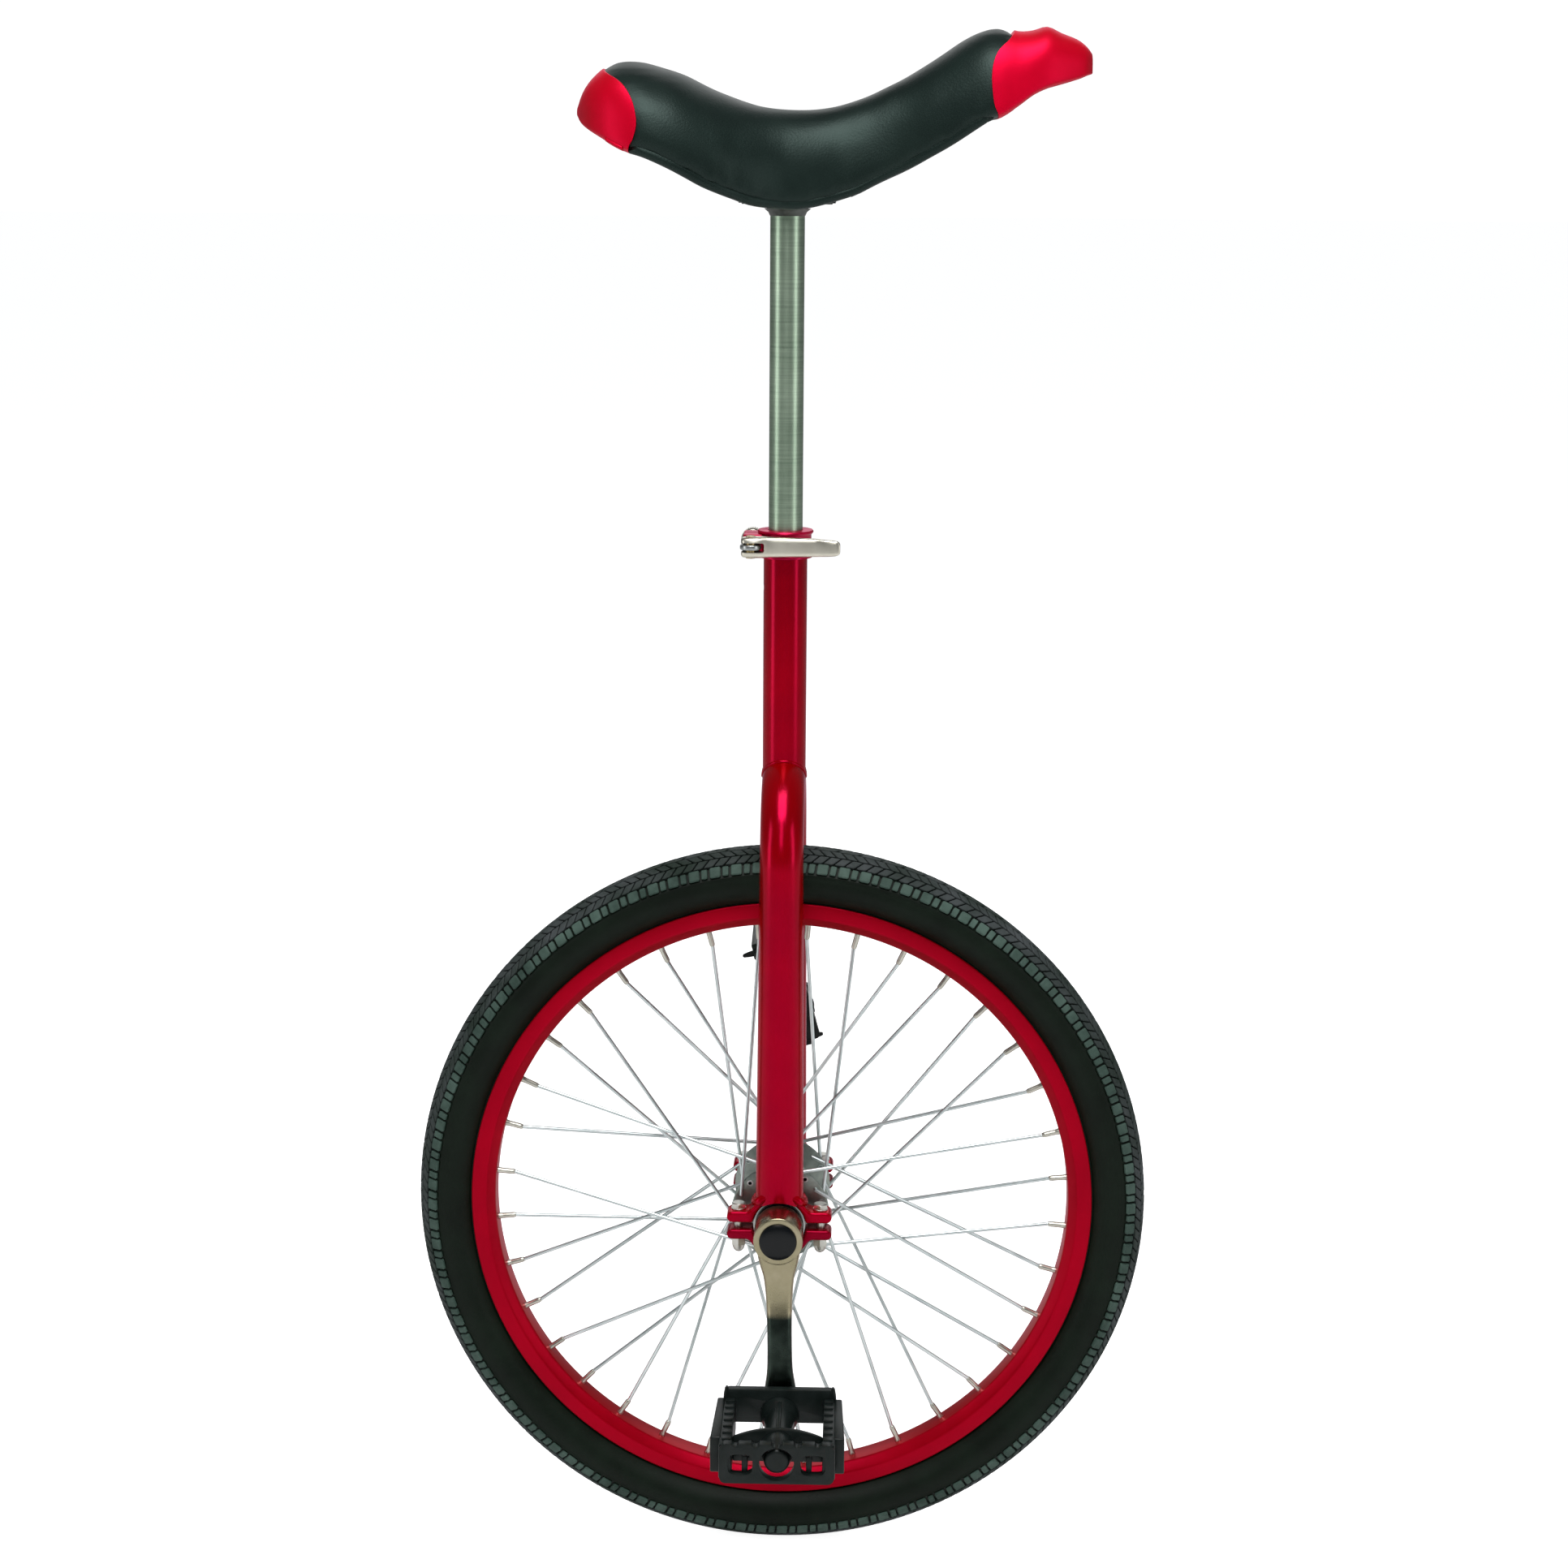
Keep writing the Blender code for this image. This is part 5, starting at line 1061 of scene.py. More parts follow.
# ---------------------------------------------------------------- pedals
# Platform pedals moulded in black resin. Two side rails with gripping teeth join an inner and an
# outer end plate, a ribbed barrel turns on the steel spindle, and amber reflectors face fore and aft.
resin = plain_finish("pedal_resin", (0.006, 0.009, 0.008), 0.36, 0.0, Specular_IOR_Level=0.24)
nodes, links, place = add_nodes(resin)
cloud = noise(nodes, links, place, 90, 3.0)
resin_tones = ((0.3, (0.004, 0.007, 0.006)), (0.75, (0.010, 0.015, 0.014)))
links.new(ramp(nodes, links, cloud, resin_tones), shader_of(resin).inputs["Base Color"])
links.new(spread(nodes, links, cloud, 0.28, 0.42), shader_of(resin).inputs["Roughness"])
bump(resin, noise(nodes, links, place, 1300, 2.0), 0.18, 0.0003)
amber = plain_finish("amber_reflector", (0.85, 0.26, 0.01), 0.12, 0.0, Coat_Weight=0.6)
nodes, links, place = add_nodes(amber)
cells = nodes.new("ShaderNodeTexVoronoi")
cells.inputs["Scale"].default_value = 420
links.new(place, cells.inputs["Vector"])
amber_tones = ((0.1, (0.95, 0.35, 0.02)), (0.6, (0.62, 0.14, 0.0)))
links.new(ramp(nodes, links, cells.outputs["Distance"], amber_tones), shader_of(amber).inputs["Base Color"])
bump(amber, cells.outputs["Distance"], 0.6, 0.0006)
PEDAL_IN = 0.0980
PEDAL_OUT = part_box("pedal_body_left")[1].y
LEFT_TILT = 74
RAIL_IN = 0.0290
RAIL_OUT = 0.0366
WING_IN = 0.0360
WING_OUT = 0.0434
TOOTH_ACROSS = 0.0325
PIN_ACROSS = 0.0350
PIN_RINGS = ((0.0090, 0.0024), (0.0150, 0.0020), (0.0190, 0.0013), (0.0198, 0.0006))
SCALLOPS = ((-0.0265, 0.0026), (-0.0135, 0.0030), (0.0, 0.0040), (0.0135, 0.0030), (0.0265, 0.0026))
BARREL = (
    (0.0064, 0.0008),
    (0.0126, 0.0008),
    (0.0132, 0.0024),
    (0.0124, 0.0090),
    (0.0098, 0.0160),
    (0.0092, 0.0300),
    (0.0096, 0.0480),
    (0.0112, 0.0560),
    (0.0104, 0.0640),
    (0.0086, 0.0730),
    (0.0080, 0.0765),
    (0.0066, 0.0775),
    (0.0003, 0.0775),
)


def rounded_box(name, low, high, round_by):
    """A box with rounded edges."""
    return rounded_edges(box_between(name, low, high), round_by, 2, 30)


def plate_with_openings(name, outline, openings, low, high, round_by):
    """A plate across the pedal, drawn as a side outline and cut through."""
    made = pushed_outline(name, outline, low, high)
    for opening in openings:
        cut_with(made, opening)
    return rounded_edges(made, round_by, 2, 50)


def rounded_outline(low, high, radius, steps=5):
    """A rectangle's outline with round corners."""
    points = []
    for centre, start in (
        ((high[0] - radius, low[1] + radius), 270),
        ((high[0] - radius, high[1] - radius), 0),
        ((low[0] + radius, high[1] - radius), 90),
        ((low[0] + radius, low[1] + radius), 180),
    ):
        points += arc_points(centre, radius, start, start + 90, steps)
    return points


lengthwise = Matrix.Rotation(math.radians(-90), 4, "X")
for where, side in SIDES.items():
    parts = []
    span = PEDAL_OUT - PEDAL_IN
    for way in (-1, 1):
        near, far = sorted((way * RAIL_IN, way * RAIL_OUT))
        rail_low = (near, PEDAL_IN + 0.003, -0.0118)
        rail = rounded_box("rail", rail_low, (far, PEDAL_OUT - 0.002, 0.0118), 0.0012)
        for corner in rail.data.vertices:
            if corner.co.x * way > 0.033:
                corner.co.x += way * 0.0006 * (corner.co.y - PEDAL_IN) / span
        parts.append(rail)
        near, far = sorted((way * WING_IN, way * WING_OUT))
        wing = box_between("wing", (near, PEDAL_IN + 0.006, -0.0122), (far, PEDAL_OUT - 0.0125, 0.0122))
        for corner in wing.data.vertices:
            if corner.co.x * way > 0.040:
                corner.co.x -= way * 0.0026 * (1 - (corner.co.y - PEDAL_IN) / span)
        near, far = sorted((way * 0.0355, way * 0.0500))
        recess = box_between("recess", (near, PEDAL_IN + 0.0176, -0.0058), (far, PEDAL_IN + 0.0623, 0.0058))
        cut_with(wing, recess)
        rounded_edges(wing, 0.0010)
        parts.append(wing)
        for step in range(7):
            out = PEDAL_IN + 0.010 + 0.0098 * step
            for up in (-1, 1):
                foot, tip = sorted((up * 0.0128, up * 0.0100))
                across = way * TOOTH_ACROSS
                tooth_low = (across - 0.0030, out - 0.0026, foot)
                parts.append(rounded_box("tooth", tooth_low, (across + 0.0030, out + 0.0026, tip), 0.0006))
        for up in (-1, 1):
            rings = []
            for z, wide in PIN_RINGS:
                oval = superoval(wide, 0.0016, 2.6, 16)
                rings.append([(way * PIN_ACROSS + x, PEDAL_IN + 0.0055 + y, up * z) for x, y in oval])
            parts.append(skinned("pin", rings))
    inner_outline = rounded_outline((-0.0360, -0.0052), (0.0360, 0.0178), 0.0030)
    bore = rod("bore", 0.0066, -0.2, 0.2, lengthwise, 32)
    plate_out = PEDAL_IN + 0.0062
    parts.append(plate_with_openings("inner_plate", inner_outline, [bore], PEDAL_IN, plate_out, 0.0009))
    outer_outline = rounded_outline((-0.0366, -0.0138), (0.0366, 0.0128), 0.0042)
    openings = []
    for across, size in SCALLOPS:
        scallop_place = Matrix.Translation((across, 0, 0.0128 + 0.4 * size)) @ lengthwise
        openings.append(rod("scallop", size, -0.2, 0.2, scallop_place, 24))
    openings.append(rod("middle", 0.0112, -0.2, 0.2, Matrix.Translation((0, 0, -0.0006)) @ lengthwise, 48))
    for way in (-1, 1):
        oval = [(way * 0.0232 + x, -0.0010 + z) for x, z in superoval(0.0080, 0.0070, 3.4, 32)]
        ends = (PEDAL_OUT - 0.02, PEDAL_OUT + 0.01)
        openings.append(skinned("side_opening", [[(x, out, z) for x, z in oval] for out in ends]))
    plate_in = PEDAL_OUT - 0.0068
    parts.append(plate_with_openings("outer_plate", outer_outline, openings, plate_in, PEDAL_OUT, 0.0010))
    arch = [(-0.0290, -0.0100), (0.0290, -0.0100)] + arc_points((0, -0.0574), 0.0699, 65.5, 114.5, 16)
    parts.append(plate_with_openings("arch_rib", arch, [], PEDAL_OUT - 0.0285, PEDAL_OUT - 0.0245, 0.0009))
    for way in (-1, 1):
        web_low = (way * 0.0205 - 0.0018, PEDAL_OUT - 0.026, -0.0090)
        parts.append(rounded_box("web", web_low, (way * 0.0205 + 0.0018, PEDAL_OUT - 0.004, 0.0030), 0.0007))
    barrel_profile = [(radius, PEDAL_IN + out) for radius, out in BARREL]
    barrel = turned("barrel", fillet(barrel_profile, 0.0016, 2), 56)
    barrel.data.transform(lengthwise)
    parts.append(barrel)
    for up in (-1, 1):
        foot, tip = sorted((up * 0.006, up * 0.0118))
        fin_low = (-0.0014, PEDAL_IN + 0.004, foot)
        parts.append(rounded_box("barrel_fin", fin_low, (0.0014, PEDAL_IN + 0.052, tip), 0.0006))
    pedal = joined(f"moulded_pedal_{where}", parts)
    if side == RIGHT:
        pedal.data.transform(Matrix.Rotation(math.pi, 4, "Z"))
    spindle_low, spindle_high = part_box(f"pedal_spindle_{where}")
    pedal_middle = Vector(((spindle_low.x + spindle_high.x) / 2, 0, (spindle_low.z + spindle_high.z) / 2))
    tilt = math.radians(LEFT_TILT) if side == LEFT else 0.0
    place = Matrix.Translation(pedal_middle) @ Matrix.Rotation(tilt, 4, "Y")
    settle(pedal, place, resin, 40)
    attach(pedal, f"pedal_{where}")
    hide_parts(f"pedal_body_{where}")
    for end in ("rear", "front"):
        refinish(f"pedal_reflector_{where}_{end}", amber)
    spindle_profile = [(0.0003, 0.0782), (0.0068, 0.0782), (0.0068, 0.0926), (0.0087, 0.0926)]
    spindle_profile += [(0.0087, 0.0954), (0.0061, 0.0962), (0.0061, 0.0990), (0.0054, 0.1010)]
    spindle_profile += [(0.0044, 0.1640), (0.0003, 0.1640)]
    spindle = turned(f"turned_spindle_{where}", fillet(spindle_profile, 0.0005, 2), 48)
    settle(spindle, Matrix.Translation(pedal_middle) @ facing(side), ground_steel, 30)
    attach(spindle, "wheel")
    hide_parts(f"pedal_spindle_{where}")


# ---------------------------------------------------------------- seat clamp
# A red aluminium collar with a rolled top lip, slit through its ears at the back. A skewer, a
# thumb nut and a bright cast lever on a brass pin draw the slit shut.
CLAMP_LOW, CLAMP_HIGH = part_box("clamp_collar")
CLAMP_MID = (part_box("qr_lever")[0].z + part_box("qr_lever")[1].z) / 2
PIN = (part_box("qr_cam_pin")[0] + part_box("qr_cam_pin")[1]) / 2
clamp_shine = (1.0, 0.2, 0.55)
clamp_red = gloss_red("clamp_anodising", (0.40, 0.0, 0.022), (0.52, 0.002, 0.04), 0.26, 0.06, clamp_shine)
lip_low = CLAMP_HIGH.z - 0.0019
COLLAR_BORE = 0.0146
collar_profile = [(COLLAR_BORE, CLAMP_LOW.z), (0.0176, CLAMP_LOW.z), (0.0176, CLAMP_LOW.z + 0.0014)]
collar_profile += [(0.0169, CLAMP_LOW.z + 0.0022), (0.0169, lip_low - 0.0014), (0.0174, lip_low - 0.0006)]
collar_profile += [(0.0181, lip_low), (0.0183, lip_low + 0.0008), (0.0178, CLAMP_HIGH.z - 0.0002)]
collar_profile += [(0.0120, CLAMP_HIGH.z), (0.0114, CLAMP_HIGH.z - 0.0004)]
collar_profile += [(0.0114, lip_low), (COLLAR_BORE, lip_low)]
collar = turned("collar", collar_profile, 80, ring=True)
ear_outline = [(-0.0148, -0.0132), (-0.0148, 0.0132)]
ear_outline += arc_points((-0.0232, 0.0090), 0.0042, 90, 180, 8)
ear_outline += arc_points((-0.0232, -0.0090), 0.0042, 180, 270, 8)
ear_ends = (CLAMP_LOW.z + 0.0012, lip_low - 0.0004)
ears = skinned("ears", [[(x, y, z) for x, y in ear_outline] for z in ear_ends])
cut_with(collar, rounded_edges(ears, 0.0009, 3, 60), "UNION")
cut_with(collar, rod("bore", COLLAR_BORE, CLAMP_LOW.z - 0.01, lip_low, None, 80))
slit_low = (-0.05, -SLOT_HALF, CLAMP_LOW.z - 0.01)
cut_with(collar, box_between("slit", slit_low, (-0.006, SLOT_HALF, CLAMP_HIGH.z + 0.01)))
collar.name = "collar_and_ears"
settle(collar, Matrix.Identity(4), clamp_red, 35)
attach(collar, "clamp")
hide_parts("clamp_collar")
lever_metal = worn_steel("lever_casting", (0.66, 0.63, 0.53), (0.74, 0.71, 0.61), 0.34)
brass = worn_steel("turned_brass", (0.36, 0.26, 0.12), (0.55, 0.42, 0.22), 0.25)
# Each row: the distance from the pin, the outer and inner faces, and half the height.
LEVER_RUN = (
    (-0.0062, -0.0030, 0.0030, 0.0050),
    (-0.0050, -0.0052, 0.0050, 0.0064),
    (0.0000, -0.0065, 0.0062, 0.0069),
    (0.0060, -0.0062, 0.0058, 0.0069),
    (0.0120, -0.0042, 0.0042, 0.0066),
    (0.0220, -0.0036, 0.0032, 0.0063),
    (0.0360, -0.0036, 0.0024, 0.0060),
    (0.0420, -0.0036, 0.0022, 0.0059),
    (0.0455, -0.0046, 0.0008, 0.0056),
    (0.0500, -0.0056, -0.0004, 0.0054),
    (0.0550, -0.0060, -0.0010, 0.0050),
    (0.0572, -0.0056, -0.0018, 0.0040),
    (0.0580, -0.0050, -0.0026, 0.0026),
)
rings = []
for along, near, far, half in smooth_run(LEVER_RUN, 3):
    middle = (near + far) / 2
    rings.append([(along, middle + deep, tall) for deep, tall in superoval((far - near) / 2, half, 4.2, 28)])
lever = skinned("cast_lever", rings)
cut_with(lever, rounded_box("fork_slot", (-0.02, -0.02, -0.0031), (0.0088, 0.02, 0.0031), 0.0012))
cut_with(lever, rod("pin_hole", 0.0034, -0.02, 0.02, None, 32))
settle(lever, Matrix.Translation((PIN.x, PIN.y, CLAMP_MID)), lever_metal, 40)
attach(lever, "lever")
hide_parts("qr_lever")
half = (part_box("qr_cam_pin")[1].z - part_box("qr_cam_pin")[0].z) / 2
pin_profile = [(0.0008, -half), (0.0033, -half), (0.0033, half), (0.0008, half)]
pin = turned("cam_pin", fillet(pin_profile, 0.0005), 40)
settle(pin, Matrix.Translation((PIN.x, PIN.y, CLAMP_MID)), brass, 30)
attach(pin, "clamp")
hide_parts("qr_cam_pin")
skewer_low, skewer_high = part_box("qr_skewer")
skewer_place = Matrix.Translation((PIN.x, 0, CLAMP_MID)) @ lengthwise
barrel = rod("skewer_rod", 0.0025, skewer_low.y, skewer_high.y, skewer_place, 32)
settle(barrel, Matrix.Identity(4), ground_steel, 30)
eye_profile = fillet([(0.0034, -0.0018), (0.0070, -0.0018), (0.0070, 0.0018), (0.0034, 0.0018)], 0.0014)
skewer_eye = turned("skewer_eye", eye_profile, 48, ring=True)
settle(skewer_eye, Matrix.Translation((PIN.x, PIN.y, CLAMP_MID)), ground_steel, 30)
for piece in (barrel, skewer_eye):
    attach(piece, "clamp")
    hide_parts("qr_skewer")
refinish("qr_cam_washer", black_gloss)
nut_low, nut_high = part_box("qr_nut")
nut_profile = [(0.0028, nut_low.y), (0.0064, nut_low.y), (0.0078, nut_low.y + 0.0016)]
nut_profile += [(0.0078, nut_high.y - 0.002), (0.0060, nut_high.y), (0.0028, nut_high.y)]
nut = turned("knurled_nut", fillet(nut_profile, 0.0006), 72, ring=True)
for corner in nut.data.vertices:
    if corner.co.xy.length > 0.0070 and round(math.degrees(math.atan2(corner.co.y, corner.co.x)) / 5) % 2:
        corner.co.xy *= 0.95
settle(nut, skewer_place, lever_metal, 20)
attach(nut, "thumb_nut")
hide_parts("qr_nut")


# ---------------------------------------------------------------- seat post
# A plain plated steel tube, 22.2 mm across, with the fine rings that its drawing die and grinding
# left, and a welded plate on top that four bolts hold to the saddle's base.
POST_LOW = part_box("seat_post")[0]
SADDLE_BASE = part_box("saddle_base")[0].z
POST_TOP = SADDLE_BASE
SCREW_FACE = SADDLE_BASE + 0.0037
post_steel = plain_finish("drawn_post_steel", (0.30, 0.34, 0.29), 0.30, 1.0)
nodes, links, place = add_nodes(post_steel)
squash_map = nodes.new("ShaderNodeMapping")
squash_map.inputs["Scale"].default_value = (0.02, 0.02, 1.0)
links.new(place, squash_map.inputs["Vector"])
rings_tone = noise(nodes, links, squash_map.outputs["Vector"], 620, 4.0, 0.75)
patches = noise(nodes, links, place, 45, 3.0)
tone = nodes.new("ShaderNodeMix")
tone.data_type = "FLOAT"
tone.inputs["Factor"].default_value = 0.35
links.new(rings_tone, tone.inputs[2])
links.new(patches, tone.inputs[3])
ring_tones = ((0.30, (0.25, 0.35, 0.25)), (0.5, (0.37, 0.48, 0.36)), (0.70, (0.50, 0.63, 0.48)))
links.new(ramp(nodes, links, tone.outputs[0], ring_tones), shader_of(post_steel).inputs["Base Color"])
links.new(spread(nodes, links, rings_tone, 0.26, 0.46), shader_of(post_steel).inputs["Roughness"])
bump(post_steel, rings_tone, 0.22, 0.0002)
POST_RADIUS = 0.0111
POST_BORE = 0.0096
post_profile = [(POST_BORE, POST_LOW.z), (POST_RADIUS - 0.0004, POST_LOW.z)]
post_profile += [(POST_RADIUS, POST_LOW.z + 0.0005), (POST_RADIUS, POST_TOP), (POST_BORE, POST_TOP)]
post = turned("drawn_post", post_profile, 72, ring=True)
settle(post, Matrix.Identity(4), post_steel, 30)
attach(post, "saddle")
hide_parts("seat_post")
weld_steel = worn_steel("weld_steel", (0.05, 0.055, 0.05), (0.14, 0.15, 0.14), 0.4)
weld_profile = [(0.0105, POST_TOP - 0.0046), (0.0114, POST_TOP - 0.0044), (0.0124, POST_TOP - 0.0022)]
weld_profile += [(0.0150, POST_TOP), (0.0105, POST_TOP)]
post_weld = turned("post_weld", weld_profile, 64, ring=True)
settle(post_weld, Matrix.Identity(4), weld_steel, 60)
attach(post_weld, "saddle")
black_zinc = worn_steel("black_zinc", (0.05, 0.06, 0.055), (0.12, 0.13, 0.12), 0.34)
for number in range(1, 5):
    low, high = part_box(f"saddle_bolt_{number}")
    middle = (low + high) / 2
    screw_profile = [(0.0015, SCREW_FACE + 0.0007), (0.0020, SCREW_FACE), (0.0046, SCREW_FACE)]
    screw_profile += [(0.0050, SCREW_FACE + 0.0003), (0.0028, SCREW_FACE + 0.0022)]
    screw_profile += [(0.0028, high.z), (0.0015, high.z)]
    screw = turned(f"saddle_screw_{number}", screw_profile, 40, ring=True)
    settle(screw, Matrix.Translation((middle.x, middle.y, 0)), black_zinc, 30)
    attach(screw, "saddle")
    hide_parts(f"saddle_bolt_{number}")


# ---------------------------------------------------------------- saddle cushion
# Foam on a moulded base under tight glossy vinyl. The cover is pulled round the lower edge, where
# a rolled hem runs, and stapled under the base.
# Each row: the place along the saddle, the heights of its lower edge and top, and half its width.
SADDLE_SIDE = (
    (-0.1313, 0.0575, 0.0625, 0.032),
    (-0.1278, 0.0525, 0.0716, 0.046),
    (-0.1218, 0.0482, 0.0796, 0.062),
    (-0.1132, 0.0432, 0.0868, 0.073),
    (-0.1050, 0.0384, 0.0906, 0.079),
    (-0.0960, 0.0344, 0.0907, 0.083),
    (-0.0870, 0.0318, 0.0890, 0.085),
    (-0.0780, 0.0282, 0.0860, 0.085),
    (-0.0680, 0.0235, 0.0830, 0.084),
    (-0.0590, 0.0187, 0.0788, 0.082),
    (-0.0500, 0.0138, 0.0740, 0.079),
    (-0.0400, 0.0096, 0.0700, 0.075),
    (-0.0310, 0.0062, 0.0667, 0.070),
    (-0.0220, 0.0030, 0.0637, 0.066),
    (-0.0130, 0.0014, 0.0618, 0.061),
    (-0.0030, 0.0006, 0.0608, 0.056),
    (0.0060, 0.0002, 0.0605, 0.053),
    (0.0150, 0.0013, 0.0606, 0.050),
    (0.0240, 0.0034, 0.0616, 0.047),
    (0.0340, 0.0063, 0.0636, 0.044),
    (0.0430, 0.0094, 0.0665, 0.043),
    (0.0520, 0.0140, 0.0697, 0.042),
    (0.0610, 0.0185, 0.0743, 0.042),
    (0.0710, 0.0230, 0.0790, 0.043),
    (0.0800, 0.0275, 0.0843, 0.045),
    (0.0890, 0.0326, 0.0900, 0.048),
    (0.0980, 0.0376, 0.0962, 0.050),
    (0.1070, 0.0432, 0.1032, 0.052),
    (0.1160, 0.0492, 0.1085, 0.054),
    (0.1250, 0.0548, 0.1120, 0.055),
    (0.1340, 0.0580, 0.1122, 0.055),
    (0.1440, 0.0646, 0.1096, 0.053),
    (0.1530, 0.0713, 0.1101, 0.051),
    (0.1620, 0.0755, 0.1124, 0.048),
    (0.1710, 0.0783, 0.1086, 0.043),
    (0.1810, 0.0813, 0.1048, 0.036),
    (0.1870, 0.0838, 0.1005, 0.030),
    (0.1905, 0.0850, 0.0965, 0.020),
)
SEAM_SHARE = 0.14
COVER_PRESSURE = 4
COVER_MOMENTS = 15
COVER_SWELL = 0.0010
PAD_VOXEL = 0.0045
HEM_RADIUS = 0.0036
HEM_INSET = 0.0062


def saddle_section(row, grow=0.0, crown=2.5, foot=6.0, sides=64):
    """One section of the padded saddle: crowned on top, full at the sides and flat below."""
    along, low, high, half_width = row
    seam = low + SEAM_SHARE * (high - low)
    ring = []
    for side in range(sides):
        turn = 2 * math.pi * side / sides
        power = crown if math.sin(turn) >= 0 else foot
        across = math.copysign(abs(math.cos(turn)) ** (2 / power), math.cos(turn))
        tall = abs(math.sin(turn)) ** (2 / power)
        reach = high - seam if math.sin(turn) >= 0 else low - seam
        height = seam + (reach + math.copysign(grow, reach)) * tall
        ring.append((along, (half_width + grow) * across, SADDLE_BASE + height))
    return ring


def saddle_rows(first, last, steps=3):
    """The saddle's smoothed sizes between two places."""
    return [row for row in smooth_run(SADDLE_SIDE, steps) if first <= row[0] <= last]


vinyl = plain_finish("glossy_vinyl", (0.006, 0.013, 0.011), 0.34, 0.0, Specular_IOR_Level=0.33)
vinyl_shader = shader_of(vinyl)
vinyl_shader.inputs["Specular Tint"].default_value = (0.72, 1.0, 0.92, 1)
nodes, links, place = add_nodes(vinyl)
cloud = noise(nodes, links, place, 30, 4.0)
vinyl_tones = ((0.3, (0.0015, 0.005, 0.004)), (0.75, (0.004, 0.010, 0.008)))
links.new(ramp(nodes, links, cloud, vinyl_tones), vinyl_shader.inputs["Base Color"])
links.new(spread(nodes, links, cloud, 0.38, 0.50), vinyl_shader.inputs["Roughness"])
pebbles = nodes.new("ShaderNodeTexVoronoi")
pebbles.feature = "SMOOTH_F1"
pebbles.inputs["Scale"].default_value = 780
links.new(place, pebbles.inputs["Vector"])
bump(vinyl, pebbles.outputs["Distance"], 0.16, 0.0005)
pad_rows = saddle_rows(-0.1270, 0.1420)
pad_rows = [(along, low + 0.0008, high, half_width) for along, low, high, half_width in pad_rows]
cushion = skinned("padded_cushion", [saddle_section(row) for row in pad_rows])
settle(cushion, Matrix.Identity(4), vinyl, 60)


def swell(piece, cap):
    """Let the cover swell under pressure from the foam, by no more than the cap, then keep it."""
    rest = [corner.co.copy() for corner in piece.data.vertices]
    pick(piece)
    cloth = piece.modifiers.new("cover", "CLOTH")
    cloth.settings.use_pressure = True
    cloth.settings.uniform_pressure_force = COVER_PRESSURE
    cloth.settings.effector_weights.gravity = 0
    cloth.settings.quality = 5
    for moment in range(1, COVER_MOMENTS + 1):
        bpy.context.scene.frame_set(moment)
    bpy.ops.object.modifier_apply(modifier=cloth.name)
    bpy.context.scene.frame_set(1)
    for corner, start in zip(piece.data.vertices, rest):
        moved = corner.co - start
        if moved.length > cap:
            corner.co = start + moved.normalized() * cap


def covered_pad(piece, voxel, cap):
    """Remesh the pad evenly, swell it and smooth it."""
    pick(piece)
    even = piece.modifiers.new("even", "REMESH")
    even.mode = "VOXEL"
    even.voxel_size = voxel
    bpy.ops.object.modifier_apply(modifier=even.name)
    swell(piece, cap)
    relax = piece.modifiers.new("relax", "SMOOTH")
    relax.factor = 0.5
    relax.iterations = 3
    bpy.ops.object.modifier_apply(modifier=relax.name)
    finer = piece.modifiers.new("finer", "SUBSURF")
    finer.levels = 1
    finer.render_levels = 1
    bpy.ops.object.modifier_apply(modifier=finer.name)


hem_rows = saddle_rows(-0.0930, 0.1260)
hem_line = [(row[0], row[3] - HEM_INSET, SADDLE_BASE + row[1] + HEM_RADIUS) for row in hem_rows]
hem_line += [(along, -out, height) for along, out, height in reversed(hem_line)]
hem = bead_loop("rolled_hem", hem_line, HEM_RADIUS, 14)
settle(hem, Matrix.Identity(4), vinyl, 60)
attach(hem, "saddle")
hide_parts("saddle_cushion")
covered_pad(cushion, PAD_VOXEL, COVER_SWELL)
settle(cushion, Matrix.Identity(4), vinyl, 60)
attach(cushion, "saddle")
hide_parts("saddle_cushion")


# ---------------------------------------------------------------- saddle base
# The moulded base shows only from below: a ribbed black shell inside the cover's stapled edge. The
# post's plate lies against it.
plate_steel = worn_steel("plate_steel", (0.05, 0.06, 0.06), (0.10, 0.11, 0.11), 0.4)
plate_rings = []
for along, low, high, half_width in saddle_rows(-0.0362, 0.0362):
    middle = SADDLE_BASE + low + 0.0006
    plate_rings.append([(along, across, middle + up) for across, up in superoval(0.0240, 0.0009, 8, 40)])
welded_plate = skinned("welded_plate", plate_rings)
settle(welded_plate, Matrix.Identity(4), plate_steel, 40)
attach(welded_plate, "saddle")
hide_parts("saddle_plate")
base_plastic = plain_finish("moulded_base", (0.010, 0.012, 0.011), 0.55)
nodes, links, place = add_nodes(base_plastic)
bump(base_plastic, noise(nodes, links, place, 1100, 2.0), 0.25, 0.0003)
shell_rings = []
for along, low, high, half_width in saddle_rows(-0.1060, 0.1240):
    middle = SADDLE_BASE + low + 0.0020
    edge = superoval(half_width - 0.009, 0.0020, 6, 40)
    shell_rings.append([(along, across, middle + up) for across, up in edge])
base_shell = skinned("moulded_base_shell", shell_rings)
ribs = []
for ends, places in (((-0.095, -0.038), (-0.030, -0.010, 0.010, 0.030)), ((0.040, 0.112), (-0.012, 0.012))):
    for across in places:
        line = [(row[0], across, SADDLE_BASE + row[1] + 0.0006) for row in saddle_rows(*ends)[::2]]
        ribs.append(swept("rib", line, 0.0014, 8))
base_ribs = joined("base_ribs", ribs)
for piece in (base_shell, base_ribs):
    settle(piece, Matrix.Identity(4), base_plastic, 40)
    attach(piece, "saddle")
    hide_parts("saddle_base")


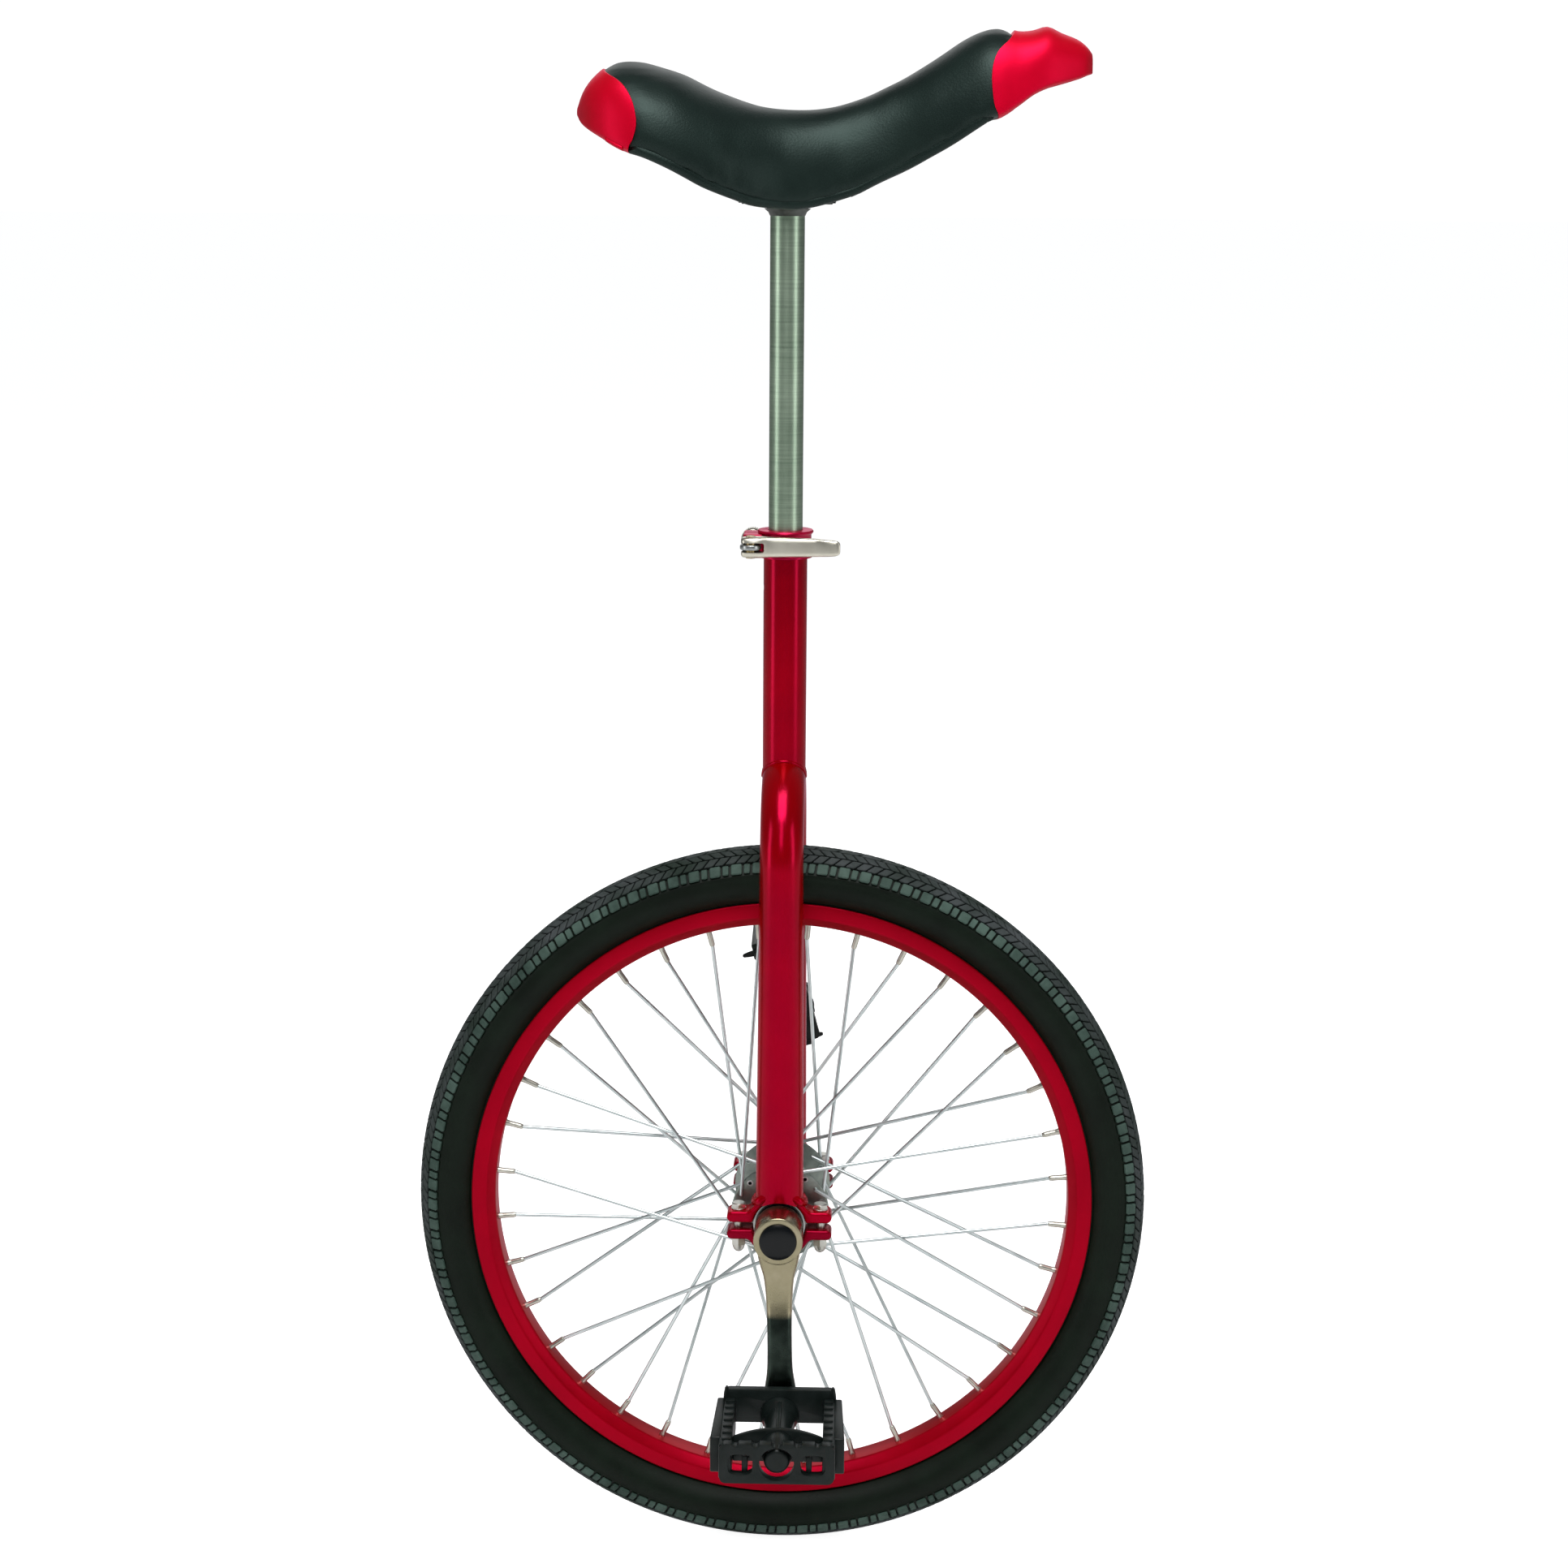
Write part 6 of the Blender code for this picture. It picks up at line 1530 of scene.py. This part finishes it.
# ---------------------------------------------------------------- bumpers and handle
# Two hard red caps screwed over the saddle's ends. The rear one ends in a rounded tongue on each
# side. The front one carries a hollow lifting handle with a raised ridge and an upturned nose.
bumper_red = gloss_red("bumper_plastic", (0.58, 0.0, 0.006), (0.72, 0.0, 0.014), 0.42, 0.10, (1.0, 0.06, 0.5))


def side_cutter(name, outline):
    """A tool drawn from the side and pushed right through the saddle."""
    return skinned(name, [[(x, out, z) for x, z in outline] for out in (-0.12, 0.12)])


rear_rows = saddle_rows(-0.1313, -0.0790)
BUMPER_GROW = 0.0008
rear = skinned("rear_bumper_cap", [saddle_section(row, BUMPER_GROW, 3.2) for row in rear_rows])
rear_line = [(-0.1250, 1.0100), (-0.1140, 0.9985), (-0.1010, 0.9905), (-0.0935, 0.9800)]
rear_line += [(-0.0905, 0.9670), (-0.0925, 0.9570), (-0.0955, 0.9510), (-0.0960, 0.9400)]
rear_edge = [tuple(row) for row in smooth_run(rear_line, 5)]
rear_outline = [(-0.16, 1.02), *rear_edge, (-0.0960, 0.92), (-0.16, 0.92)]
cut_with(rear, side_cutter("rear_side", rear_outline), "INTERSECT")
rounded_edges(rear, 0.0011)
settle(rear, Matrix.Identity(4), bumper_red, 50)
lip_rings = []
for along, low, high, half_width in saddle_rows(-0.1120, -0.0962):
    middle = SADDLE_BASE + low + 0.0016
    edge = superoval(half_width + 0.0006, 0.0024, 5, 40)
    lip_rings.append([(along, across, middle + up) for across, up in edge])
lip = skinned("rear_bumper_lip", lip_rings)
rounded_edges(lip, 0.0008)
settle(lip, Matrix.Identity(4), bumper_red, 50)
front_rows = saddle_rows(0.1120, 0.1905)
front = skinned("front_bumper_cap", [saddle_section(row, BUMPER_GROW, 3.2) for row in front_rows])
front_line = [(0.1480, 1.0400), (0.1400, 1.0215), (0.1300, 1.0105), (0.1265, 0.9975)]
front_line += [(0.1280, 0.9800), (0.1315, 0.9700), (0.1320, 0.9500)]
front_edge = [tuple(row) for row in smooth_run(front_line, 5)]
front_outline = [(0.21, 0.93), (0.1320, 0.93), *reversed(front_edge), (0.21, 1.05)]
cut_with(front, side_cutter("front_side", front_outline), "INTERSECT")
hollow = []
for along, low, high, half_width in saddle_rows(0.1400, 0.1835)[::2]:
    hollow.append(saddle_section((along, low - 0.03, high - 0.0065, half_width - 0.0075), 0.0, 3.2))
cut_with(front, skinned("finger_hollow", hollow))
rounded_edges(front, 0.0010)
settle(front, Matrix.Identity(4), bumper_red, 50)
for piece, node in ((rear, "rear_bumper"), (lip, "rear_bumper"), (front, "front_bumper")):
    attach(piece, "saddle")
    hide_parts(node)
